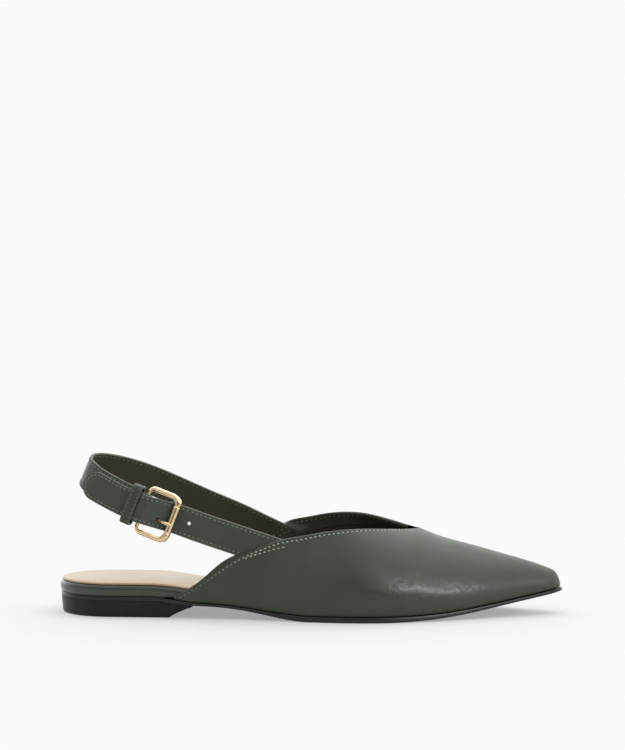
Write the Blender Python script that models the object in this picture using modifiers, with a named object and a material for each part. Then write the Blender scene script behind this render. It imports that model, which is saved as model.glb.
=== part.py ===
"""Pointed sling back flat, right shoe, as separate closed solids in metres.

+X runs from the heel to the toe, +Y to the inner (big toe) side and +Z up. The floor is z = 0 and
the origin is the middle of the heel's flat foot. Stations along the shoe are measured from the
back of the covered insole board, and the finished shoe is moved back onto its origin.
"""

import math
from typing import NamedTuple

import bmesh
import bpy
import numpy as np
from mathutils import Matrix
from mathutils import Vector

MM = 0.001

# Sizes of the whole shoe
LAST_LENGTH = 266 * MM
BALL_WIDTH = 72.6 * MM
HEEL_HEIGHT = 9 * MM
COLLAR_HEIGHT = 50 * MM
HEEL_ROUND = 27 * MM
TOE_ROUND = 7 * MM
TOE_TOP_ROUND = 4.4 * MM

# Thicknesses and clearances
GAP = 0.3 * MM
WALL = 1.7 * MM
LEDGE = 0.9 * MM
OUTSOLE_THICKNESS = 2.9 * MM
BOARD_THICKNESS = 5.7 * MM
INSOLE_THICKNESS = 1.0 * MM
INSOLE_INSET = 0.0165 * BALL_WIDTH
STRAP_THICKNESS = 1.6 * MM
KEEPER_THICKNESS = 1.2 * MM

# Places along the shoe, from the back of the heel
OUTER_WING_TIP = 0.2368 * LAST_LENGTH
INNER_WING_TIP = 0.2669 * LAST_LENGTH
WING_FRONT = 0.6992 * LAST_LENGTH
BREAST_FOOT = 0.2263 * LAST_LENGTH
BREAST_TOP = 0.2752 * LAST_LENGTH
HEEL_MIDDLE = 30 * MM
HEEL_INSET = 0.5 * MM
WIDENING_START = 0.2068 * LAST_LENGTH
WIDENING_END = 0.2368 * LAST_LENGTH
TOE_RELIEF_START = 0.8083 * LAST_LENGTH
TOE_RELIEF = 0.022 * BALL_WIDTH

# Strap and buckle
STRAP_WIDTH = 16 * MM
TAIL_WIDTH = 15.6 * MM
TAIL_DROP = 1.8 * MM
TAIL_LENGTH = 36.6 * MM
PIVOT_ALONG = 0.1763 * LAST_LENGTH
BUCKLE_LENGTH = 16.8 * MM
BUCKLE_INSIDE = 21.4 * MM
BUCKLE_DROP = 1.5 * MM
PRONG_DROP = 4.2 * MM
BUCKLE_CORNER = 4.2 * MM
PIVOT_CORNER = 2.8 * MM
FOLD_WIDTH = 13.2 * MM
FRAME_RADIUS = 1.45 * MM
BAR_RADIUS = 2.0 * MM
PIVOT_RADIUS = 1.0 * MM
PIVOT_LIFT = 0.8 * MM
PRONG_RADIUS = 0.95 * MM
PRONG_HOLE = 9.8 * MM
SPARE_HOLE = 25.7 * MM
HOLE_RADIUS = 0.9 * MM
PRONG_HOLE_RADIUS = 2.1 * MM
FOLD_THICKNESS = 1.0 * MM
KEEPER_WIDTH = 5.4 * MM
KEEPER_BEHIND_PIVOT = 5.9 * MM
KEEPER_ABOVE = 0.6 * MM
KEEPER_BELOW = 3.2 * MM


class Plan(NamedTuple):
    """The last's plan at one station: its middle line and its half width, as shares of half the ball width."""

    along: float
    middle: float
    half_width: float


class Level(NamedTuple):
    """The sole's side view at one station, as shares of the heel height and of each thickness."""

    along: float
    underside: float
    outsole: float
    board: float


class Edge(NamedTuple):
    """The upper's top edge at one station, out from the middle line and up, and its lean in degrees."""

    along: float
    outer_out: float
    outer_up: float
    inner_out: float
    inner_up: float
    lean: float


class Ridge(NamedTuple):
    """The top line of the toe at one station: its height as a share of the collar height."""

    along: float
    up: float
    shoulder: float


class Swell(NamedTuple):
    """How far the upper's foot leans outwards at one station, in degrees."""

    along: float
    degrees: float


class Loop(NamedTuple):
    """A point of the strap's middle line, in shares of the length, ball width and collar, and its lean."""

    along: float
    across: float
    up: float
    lean: float


class Lift(NamedTuple):
    """How far the buckle strap stands off the sling strap's line, ahead of the buckle's pivot."""

    ahead: float
    off: float


PLAN = (
    Plan(0.000, 0.000, 0.730),
    Plan(0.113, -0.004, 0.740),
    Plan(0.189, -0.014, 0.747),
    Plan(0.234, -0.025, 0.741),
    Plan(0.321, -0.063, 0.719),
    Plan(0.415, -0.110, 0.766),
    Plan(0.509, -0.124, 0.895),
    Plan(0.585, -0.085, 1.000),
    Plan(0.642, -0.040, 1.032),
    Plan(0.698, 0.007, 0.996),
    Plan(0.774, 0.056, 0.836),
    Plan(0.849, 0.105, 0.620),
    Plan(0.925, 0.124, 0.362),
    Plan(0.974, 0.125, 0.200),
    Plan(1.000, 0.124, 0.125),
)

LEVELS = (
    Level(0.000, 1.000, 0.76, 1.00),
    Level(0.185, 1.000, 0.76, 1.00),
    Level(0.234, 0.910, 0.64, 1.05),
    Level(0.275, 0.790, 0.46, 1.06),
    Level(0.315, 0.740, 0.41, 0.98),
    Level(0.373, 0.570, 0.48, 0.80),
    Level(0.423, 0.320, 0.66, 0.64),
    Level(0.466, 0.100, 0.95, 0.50),
    Level(0.506, 0.000, 1.00, 0.47),
    Level(0.649, 0.000, 1.00, 0.44),
    Level(0.702, 0.030, 0.96, 0.42),
    Level(0.754, 0.110, 0.88, 0.41),
    Level(0.823, 0.345, 0.76, 0.40),
    Level(0.868, 0.575, 0.68, 0.38),
    Level(0.917, 0.840, 0.61, 0.36),
    Level(0.962, 1.080, 0.61, 0.34),
    Level(1.012, 1.365, 0.65, 0.32),
)

EDGES = (
    Edge(0.230, 0.821, 0.238, 0.769, 0.230, 0),
    Edge(0.247, 0.824, 0.270, 0.764, 0.230, 1),
    Edge(0.266, 0.827, 0.326, 0.757, 0.240, 2),
    Edge(0.298, 0.833, 0.458, 0.748, 0.328, 3),
    Edge(0.331, 0.834, 0.610, 0.747, 0.446, 5),
    Edge(0.366, 0.833, 0.712, 0.753, 0.590, 7),
    Edge(0.408, 0.825, 0.786, 0.765, 0.762, 9),
    Edge(0.448, 0.813, 0.856, 0.777, 0.902, 12),
    Edge(0.491, 0.809, 0.898, 0.788, 0.958, 16),
    Edge(0.526, 0.807, 0.936, 0.792, 0.995, 22),
    Edge(0.562, 0.791, 0.963, 0.775, 1.018, 32),
    Edge(0.592, 0.745, 0.976, 0.730, 1.023, 45),
    Edge(0.619, 0.663, 0.976, 0.640, 1.015, 56),
    Edge(0.652, 0.489, 0.960, 0.459, 0.992, 68),
    Edge(0.684, 0.256, 0.938, 0.245, 0.964, 80),
    Edge(0.722, 0.000, 0.916, 0.000, 0.916, 88),
)

RIDGE = (
    Ridge(0.722, 0.916, 0.62),
    Ridge(0.762, 0.830, 0.58),
    Ridge(0.823, 0.738, 0.55),
    Ridge(0.892, 0.634, 0.55),
    Ridge(0.962, 0.525, 0.58),
    Ridge(1.008, 0.430, 0.60),
)

SWELLS = (
    Swell(0.22, 2),
    Swell(0.40, 5),
    Swell(0.60, 12),
    Swell(0.80, 14),
    Swell(1.01, 10),
)

LOOP = (
    Loop(0.4700, -0.4010, 0.6597, 15),
    Loop(0.4300, -0.3810, 0.7280, 12),
    Loop(0.3920, -0.3680, 0.7927, 9),
    Loop(0.3020, -0.3627, 0.9496, 7),
    Loop(0.2400, -0.3572, 1.0667, 7),
    Loop(0.1880, -0.3407, 1.1704, 8),
    Loop(0.1430, -0.3096, 1.2608, 10),
    Loop(0.1000, -0.2418, 1.3619, 14),
    Loop(0.0700, -0.1575, 1.4391, 19),
    Loop(0.0535, -0.0513, 1.5056, 22),
    Loop(0.0560, 0.0696, 1.5322, 22),
    Loop(0.0740, 0.1795, 1.5215, 19),
    Loop(0.1000, 0.2491, 1.4896, 15),
    Loop(0.1430, 0.3041, 1.4190, 8),
    Loop(0.2170, 0.3407, 1.2600, 4),
    Loop(0.2930, 0.3462, 1.0830, 4),
    Loop(0.3700, 0.3371, 0.9124, 6),
    Loop(0.4080, 0.3310, 0.8140, 6),
    Loop(0.4380, 0.3460, 0.7342, 5),
    Loop(0.4700, 0.3680, 0.6544, 4),
)

PRONG_BENDS = (
    Lift(0.27, 0.09),
    Lift(0.45, 0.14),
    Lift(0.58, 0.34),
    Lift(0.71, 0.60),
    Lift(0.85, 0.88),
    Lift(1.04, 1.00),
)

FOLD_BEND = PIVOT_RADIUS + GAP + FOLD_THICKNESS / 2
TAIL_OFF = STRAP_THICKNESS + GAP
OVER_PIVOT = PIVOT_LIFT + PIVOT_RADIUS + 2 * PRONG_RADIUS + 2 * GAP + STRAP_THICKNESS / 2
LIFTS = (
    Lift(-60 * MM, TAIL_OFF),
    Lift(-9 * MM, TAIL_OFF),
    Lift(-6.5 * MM, 1.15 * TAIL_OFF),
    Lift(-3.5 * MM, 0.70 * OVER_PIVOT),
    Lift(-1.5 * MM, 0.97 * OVER_PIVOT),
    Lift(0.5 * MM, OVER_PIVOT),
    Lift(4 * MM, 0.82 * OVER_PIVOT),
    Lift(10.4 * MM, 0.40 * OVER_PIVOT),
    Lift(16 * MM, 0.03 * OVER_PIVOT),
    Lift(20 * MM, 0),
    Lift(100 * MM, 0),
)

THROAT = EDGES[-1].along * LAST_LENGTH

# How far each end's direction carries into the wall's curve
FOOT_PULL = 0.45
EDGE_PULL = 0.3
RIDGE_PULL = 0.12
STEEP_LEAN = 30

# Mesh steps
HEEL_STEPS = 10
SIDE_STEPS = 26
TOE_STEPS = 6
WING_STEPS = 24
VAMP_STEPS = 13
RISE_STEPS = 13
STRAP_STEP = 3.2 * MM

# Surfaces: colour, roughness, metallic
LEATHER = ((0.060, 0.075, 0.058), 0.38, 0.0)
LINED_LEATHER = ((0.052, 0.066, 0.050), 0.42, 0.0)
SOLE_RUBBER = ((0.019, 0.020, 0.022), 0.45, 0.0)
SOCK_LEATHER = ((0.68, 0.52, 0.37), 0.50, 0.0)
GOLD_METAL = ((0.83, 0.62, 0.34), 0.18, 1.0)


def curve_through(places, values, where):
    """A natural cubic spline through the values, which keeps the shoe's lines free of kinks."""
    places = np.asarray(places, float)
    values = np.asarray(values, float)
    steps = np.diff(places)
    count = len(places)
    system = np.eye(count)
    right = np.zeros(count)
    for i in range(1, count - 1):
        system[i, i - 1] = steps[i - 1]
        system[i, i] = 2 * (steps[i - 1] + steps[i])
        system[i, i + 1] = steps[i]
        right[i] = 6 * ((values[i + 1] - values[i]) / steps[i] - (values[i] - values[i - 1]) / steps[i - 1])
    bends = np.linalg.solve(system, right)
    where = np.asarray(where, float)
    at = np.clip(np.searchsorted(places, where) - 1, 0, count - 2)
    width = steps[at]
    left = where - places[at]
    rest = places[at + 1] - where
    cubic = (bends[at] * rest**3 + bends[at + 1] * left**3) / (6 * width)
    start = (values[at] / width - bends[at] * width / 6) * rest
    end = (values[at + 1] / width - bends[at + 1] * width / 6) * left
    return cubic + start + end


def flat_curve_through(places, values, where):
    """A monotone cubic through the values: level where two neighbours are equal, so the treads stay flat."""
    places = np.asarray(places, float)
    values = np.asarray(values, float)
    steps = np.diff(places)
    slopes = np.diff(values) / steps
    tangents = np.zeros(len(places))
    for i in range(1, len(places) - 1):
        before, after = slopes[i - 1], slopes[i]
        if before * after > 0:
            first = 2 * steps[i] + steps[i - 1]
            second = steps[i] + 2 * steps[i - 1]
            tangents[i] = (first + second) / (first / before + second / after)
    tangents[-1] = slopes[-1]
    where = np.asarray(where, float)
    at = np.clip(np.searchsorted(places, where) - 1, 0, len(steps) - 1)
    t = (where - places[at]) / steps[at]
    rise = (3 * t**2 - 2 * t**3) * (values[at + 1] - values[at])
    swing = (t**3 - 2 * t**2 + t) * tangents[at] + (t**3 - t**2) * tangents[at + 1]
    return values[at] + rise + swing * steps[at]


def column(table, name):
    return [getattr(row, name) for row in table]


def rounding(distance, reach):
    """1 past the reach, falling to 0 at the end as a quarter of an ellipse."""
    share = np.clip(distance / reach, 0, 1)
    return np.sqrt(np.maximum(1 - (1 - share) ** 2, 0))


def last_sides(along):
    """Both sides of the last's plan at these stations: y of the outer and of the inner side."""
    share = along / LAST_LENGTH
    middle = curve_through(column(PLAN, "along"), column(PLAN, "middle"), share)
    half = curve_through(column(PLAN, "along"), column(PLAN, "half_width"), share)
    half = half * rounding(along, HEEL_ROUND) * rounding(LAST_LENGTH - along, TOE_ROUND)
    return (middle - half) * BALL_WIDTH / 2, (middle + half) * BALL_WIDTH / 2


def underside(along):
    return HEEL_HEIGHT * flat_curve_through(
        column(LEVELS, "along"), column(LEVELS, "underside"), along / LAST_LENGTH
    )


def outsole_top(along):
    share = flat_curve_through(column(LEVELS, "along"), column(LEVELS, "outsole"), along / LAST_LENGTH)
    return underside(along) + OUTSOLE_THICKNESS * share


def board_bottom(along):
    return outsole_top(along) + GAP


def board_top(along):
    share = flat_curve_through(column(LEVELS, "along"), column(LEVELS, "board"), along / LAST_LENGTH)
    return board_bottom(along) + BOARD_THICKNESS * share


def toe_stations(start, steps):
    """Stations from start to the last's tip, closing up where the toe rounds."""
    straight = np.linspace(start, LAST_LENGTH - TOE_ROUND, steps + 1)[:-1]
    turn = np.linspace(0, math.pi / 2, TOE_STEPS + 1)
    return np.concatenate([straight, LAST_LENGTH - TOE_ROUND * (1 - np.sin(turn))])


def full_stations():
    turn = np.linspace(0, math.pi / 2, HEEL_STEPS + 1)[:-1]
    return np.concatenate([HEEL_ROUND * (1 - np.cos(turn)), toe_stations(HEEL_ROUND, SIDE_STEPS)])


def heel_stations():
    turn = np.linspace(0, math.pi / 2, HEEL_STEPS + 1)[:-1]
    middle = np.linspace(HEEL_ROUND, BREAST_FOOT, 5)
    breast = np.linspace(BREAST_FOOT, BREAST_TOP, 7)[1:]
    return np.concatenate([HEEL_ROUND * (1 - np.cos(turn)), middle, breast])


def outline(stations, closed_tip=True):
    """The plan as one ring of points: out along the outer side and home along the inner side."""
    outer, inner = last_sides(stations)
    there = np.column_stack([stations, outer])
    home = np.column_stack([stations, inner])[::-1]
    start = 1 if closed_tip else 0
    end = len(home) - 1 if stations[0] == 0 else len(home)
    return np.concatenate([there, home[start:end]])


def outward(ring, closed=True):
    """Unit normals of a plan ring, pointing away from the foot."""
    if closed:
        along = np.roll(ring, -1, axis=0) - np.roll(ring, 1, axis=0)
    else:
        along = np.gradient(ring, axis=0)
    normals = np.column_stack([along[:, 1], -along[:, 0]])
    return normals / np.linalg.norm(normals, axis=1)[:, None]


def material(name, surface):
    colour, roughness, metallic = surface
    made = bpy.data.materials.new(name)
    made.use_nodes = True
    shader = made.node_tree.nodes["Principled BSDF"]
    shader.inputs["Base Color"].default_value = (*colour, 1.0)
    shader.inputs["Roughness"].default_value = roughness
    shader.inputs["Metallic"].default_value = metallic
    return made


def add_mesh(name, points, faces, surface, group):
    """Puts a mesh in the scene, with doubled points welded and the faces turned outwards."""
    mesh = bpy.data.meshes.new(name)
    mesh.from_pydata([tuple(p) for p in points], [], [tuple(int(i) for i in f) for f in faces])
    work = bmesh.new()
    work.from_mesh(mesh)
    bmesh.ops.remove_doubles(work, verts=work.verts, dist=1e-6)
    bmesh.ops.dissolve_degenerate(work, edges=work.edges, dist=1e-7)
    bmesh.ops.recalc_face_normals(work, faces=work.faces)
    work.to_mesh(mesh)
    work.free()
    obj = bpy.data.objects.new(name, mesh)
    mesh.materials.append(material(name, surface))
    group.objects.link(obj)
    return obj


def ring_faces(count, size, closed_rings=True):
    """Quads between neighbouring rings of points, each ring holding size points."""
    faces = []
    last = size if closed_rings else size - 1
    for i in range(count - 1):
        for j in range(last):
            k = (j + 1) % size
            faces.append((i * size + j, i * size + k, (i + 1) * size + k, (i + 1) * size + j))
    return faces


def add_slab(name, stations, rows, low, high, surface, group, closed_tip=True, spread=None):
    """A plate with the last's outline. Each row of its side is (offset outwards, share of its height)."""
    ring = outline(stations, closed_tip)
    normals = outward(ring)
    wide = np.zeros(len(ring)) if spread is None else spread(ring[:, 0])
    points = []
    for offset, share in rows:
        plan = ring + normals * (offset + wide)[:, None]
        place = np.clip(plan[:, 0], stations[0], None)
        height = low(place) + (high(place) - low(place)) * share
        points.append(np.column_stack([plan, height]))
    size = len(ring)
    faces = ring_faces(len(rows), size)
    for base in (0, (len(rows) - 1) * size):
        first, second = 1, size - 1
        faces.append((base, base + first, base + second))
        while second - first > 2:
            faces.append((base + first, base + first + 1, base + second - 1, base + second))
            first += 1
            second -= 1
        if second - first == 2:
            faces.append((base + first, base + first + 1, base + second))
    return add_mesh(name, np.concatenate(points), faces, surface, group)


def sole_spread(along):
    """How far the outsole stands out from the last: under the covered board at the heel, past the upper ahead."""
    share = np.clip((along - WIDENING_START) / (WIDENING_END - WIDENING_START), 0, 1)
    share = share * share * (3 - 2 * share)
    return -HEEL_INSET + share * (HEEL_INSET + LEDGE + GAP + WALL)


def build_outsole(group):
    rows = ((-0.5 * MM, 0), (0, 0.2), (0, 0.8), (-0.25 * MM, 1))
    add_slab("outsole", full_stations(), rows, underside, outsole_top, SOLE_RUBBER, group, spread=sole_spread)


def heel_bottom(along):
    """Flat on the floor, then rising up the breast in a shallow hollow."""
    share = np.clip((along - BREAST_FOOT) / (BREAST_TOP - BREAST_FOOT), 0, 1)
    top = float(underside(np.array([BREAST_TOP]))[0]) - 3 * GAP
    return top * share**0.8


def heel_top(along):
    return underside(along) - GAP


def build_heel(group):
    rows = ((-1.5 * MM, 0), (-1.1 * MM, 0.06), (-0.8 * MM, 0.6), (-HEEL_INSET, 0.92), (-0.8 * MM, 1))
    add_slab("heel", heel_stations(), rows, heel_bottom, heel_top, SOLE_RUBBER, group, closed_tip=False)


def toe_spread(along):
    """Draws the board in near the toe, where the upper closes over it."""
    return -TOE_RELIEF * np.clip((along - TOE_RELIEF_START) / (LAST_LENGTH - TOE_RELIEF_START), 0, 1)


def build_footbed(group):
    """The insole board in its leather cover, whose rolled edge shows round the heel."""
    rows = (
        (-1.1 * MM, 0),
        (-0.5 * MM, 0.1),
        (-0.15 * MM, 0.4),
        (0, 0.7),
        (-0.25 * MM, 0.93),
        (-0.8 * MM, 1),
    )
    stations = full_stations()
    add_slab("footbed", stations, rows, board_bottom, board_top, LEATHER, group, spread=toe_spread)


def build_insole(group):
    rows = ((-INSOLE_INSET, 0), (-INSOLE_INSET, 0.7), (-INSOLE_INSET - 0.3 * MM, 1))

    def low(along):
        return board_top(along) + GAP

    def high(along):
        return low(along) + INSOLE_THICKNESS

    add_slab("insole", full_stations(), rows, low, high, SOCK_LEATHER, group, spread=toe_spread)


def bezier(start, leave, arrive, end, steps):
    """Points of the cubic curves from start to end, one curve per row of the arrays."""
    t = np.linspace(0, 1, steps + 1)[None, :, None]
    parts = (start, leave, arrive, end)
    weights = ((1 - t) ** 3, 3 * t * (1 - t) ** 2, 3 * t**2 * (1 - t), t**3)
    return sum(weight * part[:, None, :] for weight, part in zip(weights, parts))


def top_edge(along, side):
    """Out, up, lean and shoulder of the upper's top at these stations, for side -1 (outer) or 1 (inner)."""
    share = along / LAST_LENGTH
    kind = "outer" if side < 0 else "inner"
    places = column(EDGES, "along")
    back = np.clip(share, places[0], places[-1])
    out = np.maximum(curve_through(places, column(EDGES, kind + "_out"), back), 0) * BALL_WIDTH / 2
    up = curve_through(places, column(EDGES, kind + "_up"), back) * COLLAR_HEIGHT
    lean = flat_curve_through(places, column(EDGES, "lean"), back)
    front = np.clip(share, RIDGE[0].along, RIDGE[-1].along)
    ridge = curve_through(column(RIDGE, "along"), column(RIDGE, "up"), front) * COLLAR_HEIGHT
    shoulder = curve_through(column(RIDGE, "along"), column(RIDGE, "shoulder"), front)
    ahead = share > places[-1] - 1e-6
    middle = curve_through(column(PLAN, "along"), column(PLAN, "middle"), np.clip(share, 0, 1)) * BALL_WIDTH / 2
    across = np.where(ahead, np.maximum(middle, 0), side * out)
    ahead_lean = 90.0
    return across, np.where(ahead, ridge, up), np.where(ahead, ahead_lean, lean), shoulder


def upper_side(side):
    """The outer face of one side of the upper, as columns from the feather edge to the top edge."""
    wing_tip = OUTER_WING_TIP if side < 0 else INNER_WING_TIP
    back = np.linspace(wing_tip, WING_FRONT, WING_STEPS)
    stations = np.concatenate([back, toe_stations(THROAT, VAMP_STEPS)])
    outer, inner = last_sides(stations)
    ring = np.concatenate([np.column_stack([stations, outer]), np.column_stack([stations, inner])[::-1][1:]])
    ring = ring + outward(ring, closed=False) * (WALL + GAP)
    count = len(stations)
    plan = ring[:count] if side < 0 else ring[::-1][:count]
    middle_along = (ring[:count, 0] + ring[::-1][:count, 0]) / 2
    foot = np.column_stack([plan, outsole_top(plan[:, 0]) + GAP])
    across, up, lean, shoulder = top_edge(middle_along, side)
    tip = ring[count - 1]
    closing = rounding(tip[0] - middle_along, TOE_TOP_ROUND)
    bottom = foot[:, 2]
    up = bottom + (up - bottom) * closing
    across = tip[1] + (across - tip[1]) * np.where(closing < 1, closing, 1)
    top = np.column_stack([np.where(lean < 90, plan[:, 0], middle_along), across, up])
    rise = (top[:, 2] - bottom)[:, None]
    span = np.abs(top[:, 1] - foot[:, 1])[:, None]
    swell = curve_through(column(SWELLS, "along"), column(SWELLS, "degrees"), stations / LAST_LENGTH)
    swell = np.radians(swell)
    heading = np.column_stack([0 * swell, side * np.sin(swell), np.cos(swell)])
    leave = foot + heading * rise * FOOT_PULL
    turn = np.radians(lean)[:, None]
    over = shoulder[:, None] * span + RIDGE_PULL * rise * np.cos(turn)
    reach = np.where(lean[:, None] < STEEP_LEAN, EDGE_PULL * rise, over)
    slope = np.concatenate([0 * turn, side * np.sin(turn), -np.cos(turn)], axis=1)
    arrive = top + slope * reach
    return bezier(foot, leave, arrive, top, RISE_STEPS)


def build_upper(group):
    """One hollow wall: both sides meet along the ridge ahead of the throat, and at the toe's tip."""
    points = []
    faces = []
    for side in (-1, 1):
        grid = upper_side(side)
        count, size = grid.shape[:2]
        start = len(points)
        points.extend(grid.reshape(-1, 3))
        quads = ring_faces(count, size, closed_rings=False)
        if side > 0:
            quads = [face[::-1] for face in quads]
        faces.extend(tuple(start + i for i in face) for face in quads)
    upper = add_mesh("upper", points, faces, LEATHER, group)
    facing = sum(face.normal.z * face.area for face in upper.data.polygons)
    if facing < 0:
        upper.data.flip_normals()
    wall = upper.modifiers.new("wall", "SOLIDIFY")
    wall.thickness = WALL
    wall.offset = -1
    wall.use_even_offset = True
    wall.use_quality_normals = True
    return upper


class StrapLine:
    """The sling's middle line round the heel, measured from the outer wing, with its own axes."""

    def __init__(self):
        sizes = np.array([LAST_LENGTH, BALL_WIDTH, COLLAR_HEIGHT])
        rows = np.array([(r.along, r.across, r.up) for r in LOOP]) * sizes
        marks = np.concatenate([[0], np.cumsum(np.linalg.norm(np.diff(rows, axis=0), axis=1))])
        self.length = marks[-1]
        self.marks = marks
        self.rows = rows
        self.leans = np.radians(column(LOOP, "lean"))
        fine = np.linspace(0, self.length, 2000)
        line = self.middle(fine)
        nearest = np.argmin(np.abs(line[:1000, 0] - PIVOT_ALONG))
        self.pivot = fine[nearest]

    def middle(self, where):
        return np.column_stack([curve_through(self.marks, self.rows[:, i], where) for i in range(3)])

    def axes(self, where):
        """Forward is towards the end of the line, up is across the strap, and out is away from the foot."""
        step = 0.2 * MM
        forward = self.middle(where + step) - self.middle(where - step)
        forward /= np.linalg.norm(forward, axis=1)[:, None]
        out = np.column_stack([-forward[:, 1], forward[:, 0], np.zeros(len(where))])
        out /= np.linalg.norm(out, axis=1)[:, None]
        lean = curve_through(self.marks, self.leans, where)[:, None]
        up = np.array([[0, 0, 1.0]]) * np.cos(lean) - out * np.sin(lean)
        up -= forward * (up * forward).sum(axis=1)[:, None]
        up /= np.linalg.norm(up, axis=1)[:, None]
        return forward, up, np.cross(up, forward)

    def at(self, ahead, up=0.0, out=0.0):
        """A point ahead of the pivot (towards the outer wing), across the strap and away from the foot."""
        where = np.atleast_1d(self.pivot - np.asarray(ahead, float))
        _, ups, outs = self.axes(where)
        return self.middle(where) + ups * np.reshape(up, (-1, 1)) + outs * np.reshape(out, (-1, 1))


def add_ribbon(name, middle, across, out, half_width, thickness, surface, group, closed=False):
    """A strip with softened edges along a line. Half width is one number or one for each point."""
    half = np.broadcast_to(half_width, len(middle))[:, None]
    deep = np.broadcast_to(thickness, len(middle))[:, None] / 2
    soft = np.minimum(0.45 * deep, 0.4 * half)
    section = (
        (-1, 0, -1, 1),
        (-1, 1, -1, 0),
        (1, -1, -1, 0),
        (1, 0, -1, 1),
        (1, 0, 1, -1),
        (1, -1, 1, 0),
        (-1, 1, 1, 0),
        (-1, 0, 1, -1),
    )
    rings = []
    for side, side_soft, face, face_soft in section:
        rings.append(
            middle + across * (side * half + side_soft * soft) + out * (face * deep + face_soft * soft)
        )
    points = np.stack(rings, axis=1).reshape(-1, 3)
    size = len(section)
    faces = ring_faces(len(middle), size)
    if closed:
        base = (len(middle) - 1) * size
        faces += [(base + j, base + (j + 1) % size, (j + 1) % size, j) for j in range(size)]
    else:
        faces.append(tuple(range(size)))
        faces.append(tuple(range(len(points) - size, len(points))))
    return add_mesh(name, points, faces, surface, group)


def cut(target, cutter):
    """Takes the cutter out of the target and keeps the result as plain mesh."""
    change = target.modifiers.new("cut", "BOOLEAN")
    change.operation = "DIFFERENCE"
    change.solver = "EXACT"
    change.object = cutter


def join(target, other):
    change = target.modifiers.new("join", "BOOLEAN")
    change.operation = "UNION"
    change.solver = "EXACT"
    change.object = other


def aim(obj, centre, forward, up, out):
    """Places an object so that its x, y and z run along the three given directions."""
    turn = np.eye(4)
    for i, axis in enumerate((forward, up, out)):
        turn[:3, i] = axis
    turn[:3, 3] = centre
    obj.matrix_world = Matrix(turn.tolist())


def as_cutter(obj, helpers):
    for owner in list(obj.users_collection):
        owner.objects.unlink(obj)
    helpers.objects.link(obj)
    obj.hide_render = True
    obj.display_type = "WIRE"
    return obj


def strap_hole(line, ahead, across, radius, helpers):
    """A round punch through the strap, placed ahead of the pivot and across the strap."""
    where = np.array([line.pivot - ahead])
    forward, up, out = (axis[0] for axis in line.axes(where))
    centre = line.at(ahead, across, lift_at(ahead))[0]
    bpy.ops.mesh.primitive_cylinder_add(vertices=12, radius=radius, depth=6 * STRAP_THICKNESS)
    punch = bpy.context.object
    punch.name = "strap_punch"
    aim(punch, centre, forward, np.cross(out, forward), out)
    return as_cutter(punch, helpers)


def lift_at(ahead):
    return flat_curve_through(column(LIFTS, "ahead"), column(LIFTS, "off"), ahead)


def build_buckle_strap(line, group, helpers):
    """From inside the outer wing, under the buckle's bar, over its pivot and on to the rounded tail."""
    wing = line.pivot
    count = int((wing + TAIL_LENGTH) / STRAP_STEP)
    ahead = np.linspace(wing, -TAIL_LENGTH, count)
    rounded = -TAIL_LENGTH + TAIL_WIDTH / 2 * (1 - np.cos(np.linspace(math.pi / 2, 0, 7)))
    ahead = np.concatenate([ahead[ahead > -TAIL_LENGTH + TAIL_WIDTH / 2 + 1 * MM], rounded])
    ahead[-1] += 0.1 * MM
    _, up, out = line.axes(line.pivot - ahead)
    narrowing = np.clip((20 * MM - ahead) / (20 * MM), 0, 1)
    half = (STRAP_WIDTH + (TAIL_WIDTH - STRAP_WIDTH) * narrowing) / 2
    half = half * rounding(ahead + TAIL_LENGTH, TAIL_WIDTH / 2)
    middle = line.at(ahead, -TAIL_DROP * narrowing, lift_at(ahead))
    strap = add_ribbon("buckle_strap", middle, up, out, half, STRAP_THICKNESS, LINED_LEATHER, group)
    cut(strap, strap_hole(line, PRONG_HOLE, -PRONG_DROP, PRONG_HOLE_RADIUS, helpers))
    cut(strap, strap_hole(line, SPARE_HOLE, 0, HOLE_RADIUS, helpers))
    return strap


def build_sling_strap(line, group, helpers):
    """From inside the inner wing, round the heel, and folded back round the buckle's pivot."""
    run = np.arange(line.length, line.pivot + 6 * MM, -STRAP_STEP)
    ahead = line.pivot - run
    bend = FOLD_BEND
    settle = np.array([-5, -3.4, -1.8]) * MM
    turn = np.linspace(-90, 115, 9)
    fold_ahead = bend * np.cos(np.radians(turn))
    fold_off = PIVOT_LIFT + bend * np.sin(np.radians(turn))
    settle_off = (PIVOT_LIFT - bend) * np.array([0.35, 0.75, 0.97])
    places = np.concatenate([ahead, settle, fold_ahead])
    offs = np.concatenate([0 * ahead, settle_off, fold_off])
    deep = np.concatenate(
        [
            0 * ahead + STRAP_THICKNESS,
            np.linspace(0.9 * STRAP_THICKNESS, FOLD_THICKNESS, len(settle)),
            0 * fold_ahead + FOLD_THICKNESS,
        ]
    )
    where = line.pivot - places
    _, up, out = line.axes(where)
    middle = line.at(places, 0.0, offs)
    along = np.gradient(middle, axis=0)
    facing = np.cross(along, up)
    facing /= np.linalg.norm(facing, axis=1)[:, None]
    half = np.where(places > -5 * MM, FOLD_WIDTH, STRAP_WIDTH) / 2
    strap = add_ribbon("sling_strap", middle, up, facing, half, deep, LINED_LEATHER, group)
    slot_width = 2 * PRONG_RADIUS + 2 * GAP
    forward, up, out = (axis[0] for axis in line.axes(np.array([line.pivot])))
    bpy.ops.mesh.primitive_cube_add(size=1)
    slot = bpy.context.object
    slot.name = "prong_slot"
    slot.scale = (9.5 * MM, slot_width, 12 * MM)
    bpy.ops.object.transform_apply(location=False, rotation=False, scale=True)
    centre = line.at(1.2 * MM, -PRONG_DROP, PIVOT_LIFT)[0]
    aim(slot, centre, forward, np.cross(out, forward), out)
    cut(strap, as_cutter(slot, helpers))
    return strap


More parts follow.
